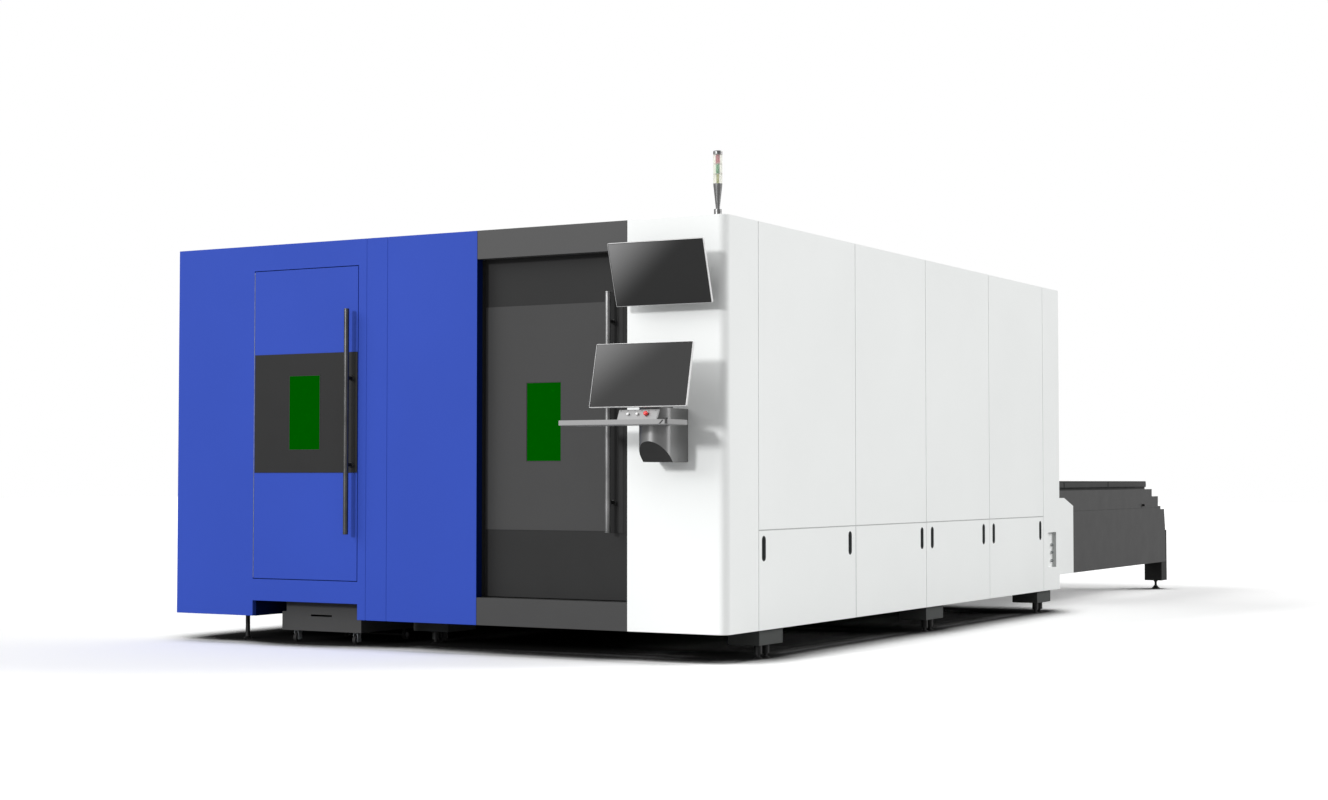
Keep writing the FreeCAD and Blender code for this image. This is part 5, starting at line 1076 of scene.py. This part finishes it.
# %% Rack teeth and rail plugs on both sides
rails = edges("gantry_rails")
TOOTH_PITCH, TOOTH_OUT, TOOTH_H = 12.0, 0.8, 20.0
GUIDE_INSET, PLUG_PITCH, PLUG_COUNT, PLUG_R = 45.0, 240.0, 18, 7.0
teeth = int((rails[3] - rails[2]) / TOOTH_PITCH)
for side, root_x, outward in (("right", rails[1], 1), ("left", rails[0], -1)):
    tip_x = root_x + outward * TOOTH_OUT
    tooth = bmesh.new()
    plate(tooth, [(x, rails[2] + along, rails[4] + 2)
                  for x, along in ((root_x, 0), (root_x, 8), (tip_x, 6), (tip_x, 2))],
          (0, 0, TOOTH_H))
    rows("rack_teeth_" + side, tooth, GROUND_STEEL, "bare_steel", teeth, (0, TOOTH_PITCH, 0))
plug_x, plug_y = rails[1] - GUIDE_INSET, rails[2] + 60
plug = bmesh.new()
rod(plug, (plug_x, plug_y, rails[5] - 0.2), (plug_x, plug_y, rails[5] + 0.2), PLUG_R, sides=16)
rows("guide_rail_plugs", plug, BLACK_OXIDE, "zinc_steel", PLUG_COUNT, (0, PLUG_PITCH, 0),
     2, (rails[0] + GUIDE_INSET - plug_x, 0, 0))

# %% [markdown]
# ## Scrap cart
#
# Slag falls through the bed and slides to a cart that rolls out under the wing door. It is a
# plain painted tub. The wheels have a rubber tread on a nylon hub. A thin disc on each side of
# a wheel shows the hub, and a smaller one the end of its axle.

# %% Tub, forks, wheels and hubs
WHEELS = ("cart_wheel_left", "cart_wheel_right", "cart_rear_wheels")
dress("cart_tub", CART_GREY, bevel=1.0)
dress("cart_fork_left", ZINC, bevel=0.5)
dress("cart_fork_right", ZINC, bevel=0.5)
for node in WHEELS:
    dress(node, RUBBER, bevel=2.0)
HUB_R, AXLE_R, REAR_TREAD_W = 15.0, 8.0, 20.0
for node in WHEELS:
    x0, x1, y0, y1, z0, z1 = edges(node)
    wheel_y, wheel_z = (y0 + y1) / 2, (z0 + z1) / 2
    inner_faces = (x0 + REAR_TREAD_W, x1 - REAR_TREAD_W) if node == "cart_rear_wheels" else ()
    hubs = bmesh.new()
    for x in (x0, *inner_faces, x1):
        for proud, radius, sides in ((0.5, HUB_R, 28), (0.9, AXLE_R, 20)):
            rod(hubs, (x - proud, wheel_y, wheel_z), (x + proud, wheel_y, wheel_z), radius,
                sides=sides)
    new_piece(node + "_hubs", hubs, WHEEL_HUB, node)

# %% [markdown]
# ## Exchange table
#
# Two painted skins hide the table's frame. Each is folded along a line at two thirds of its
# height, which shows as a faint crease, painted darker as shade in the fold. The pallet above
# it wears three guard plates on each side, with a dark gap between them.

# %% Skins, creases and knobs
dress("table_skins", TABLE_GREY, bevel=1.0)
dress("table_frame", FRAME_BLACK, bevel=1.5)
skin = edges("table_skins")
CREASE_Z, CREASE_END = 660.0, FRONT + 7740.0
KNOB_Y, KNOB_Z = FRONT + 7276.0, 683.0
crease_y = skin[2] + 6
creases, knobs = bmesh.new(), bmesh.new()
for x, outward in ((skin[1], 1), (skin[0], -1)):
    behind, proud = x - outward * 0.2, x + outward * 0.8
    plate(creases, [(behind, crease_y, CREASE_Z - 1.6), (proud, crease_y, CREASE_Z),
                    (behind, crease_y, CREASE_Z + 1.6)], (0, CREASE_END - skin[2] - 12, 0))
    for reach, radius in ((2, 12), (23, 9.5)):
        rod(knobs, (x - outward, KNOB_Y, KNOB_Z), (x + outward * reach, KNOB_Y, KNOB_Z), radius,
            sides=32)
# The crease strip is painted darker than the skin: painted shade in the fold.
new_piece("table_skin_creases", creases, CREASE_PAINTED_SHADE)
new_piece("table_knobs", knobs, BLACK_ABS, bevel=1.2)

# %% Pallets and their guard plates
GUARD_T, GUARD_GAP = 3.0, 24.0
MIDDLE_GUARD, REAR_GUARD = 2002.0, 976.0    # from the pallet's rear end to a plate's near end
for pallet in ("upper_pallet", "lower_pallet"):
    dress(pallet + "_frame", FRAME_BLACK, bevel=1.5)
    paint(pallet + "_slats", SLAT_STEEL)
    x0, x1, y0, y1, _, z1 = edges(pallet + "_frame")
    spans = ((y0, y1 - MIDDLE_GUARD - GUARD_GAP),
             (y1 - MIDDLE_GUARD, y1 - REAR_GUARD - GUARD_GAP), (y1 - REAR_GUARD, y1))
    plates = [((x, x + GUARD_T), span, (z1 - 43, z1 - 7))
              for span in spans for x in (x1 - 0.5, x0 - 2.5)]
    block_piece(pallet + "_guards", plates, GUARD_GREY, pallet, bevel=0.6)

# %% [markdown]
# ## Gantry and cutting head
#
# The gantry is an extruded aluminium beam on two carriages, and the head rides along it. The
# CAD solids have the right sizes. What a fitter would notice is added: cooling fins on the
# motors, a brass nozzle, the black fibre connector on top of the head and the drawer that
# holds its protective window.

# %% Beam, carriages, motors and head
dress("gantry_beam", ALUMINIUM, bevel=2.0)
dress("gantry_ends", BED_GREY, bevel=1.5)
dress("head_carriage", ALUMINIUM, bevel=1.5)
cutting_head = dress("cutting_head", ALUMINIUM, bevel=1.0)
head = edges("cutting_head")
NOZZLE_H, CONNECTOR_H, DRAWER_Z = 44.0, 89.0, (150.0, 230.0)
paint_faces(cutting_head, BRASS, lambda c, n: c.z < head[4] + NOZZLE_H)
paint_faces(cutting_head, BLACK_ABS, lambda c, n: c.z > head[5] - CONNECTOR_H)
drawer = ((head[0] - 1, head[1] + 1), (head[3] - 1, head[3] + 3), [head[4] + z for z in DRAWER_Z])
block_piece("protective_window_drawer", [drawer], BLACK_ABS, "cutting_head", bevel=1.0)

ends = edges("gantry_ends")
MOTOR_IN, MOTOR_Y, FIN_HALF = 39.0, FRONT + 758.0, 33.5
FIN_Z, FIN_COUNT, FIN_PITCH = (1030.5, 1034.5), 15, 9.0
for side, motor_x in (("right", ends[1] - MOTOR_IN), ("left", ends[0] + MOTOR_IN)):
    fin = bmesh.new()
    block(fin, (motor_x - FIN_HALF, motor_x + FIN_HALF), (MOTOR_Y - FIN_HALF, MOTOR_Y + FIN_HALF),
          FIN_Z)
    rows("motor_fins_" + side, fin, BLACK_OXIDE, "dark_paint", FIN_COUNT, (0, 0, FIN_PITCH),
         body="gantry")

# %% [markdown]
# ## Cabinets behind the wing
#
# The electrical cabinet and the laser source stand along the left wall and are seen through
# the open wing door. Each gets two doors with a seam between them, a handle and two banks of
# louvres.

# %% Cabinet doors
dress("electrical_cabinet", CABINET_GREY, bevel=1.2)
dress("laser_source", WHITE, bevel=1.2)
for node, hoods in (("electrical_cabinet", 10), ("laser_source", 6)):
    x0, x1, y0, y1, z0, z1 = edges(node)
    seam_y, grip_z = (y0 + y1) / 2, (z0 + z1) / 2
    doors = [((x1 - 0.5, x1 + 2.5), y, (z0 + 25, z1 - 25))
             for y in ((y0 + 20, seam_y - 3), (seam_y + 3, y1 - 20))]
    grip = ((x1 + 2, x1 + 14), (seam_y + 25, seam_y + 50), (grip_z - 70, grip_z + 70))
    block_piece(node + "_doors", doors, CABINET_GREY, bevel=1.0)
    block_piece(node + "_handle", [grip], BLACK_ABS, bevel=3.0)
    rows(node + "_louvres", hood(x1 + 2.3, y0 + 120, z0 + 90, 1), CABINET_GREY, "console_paint",
         hoods, (0, 0, HOOD_PITCH), 2, (0, (y1 - y0) / 2, 0))
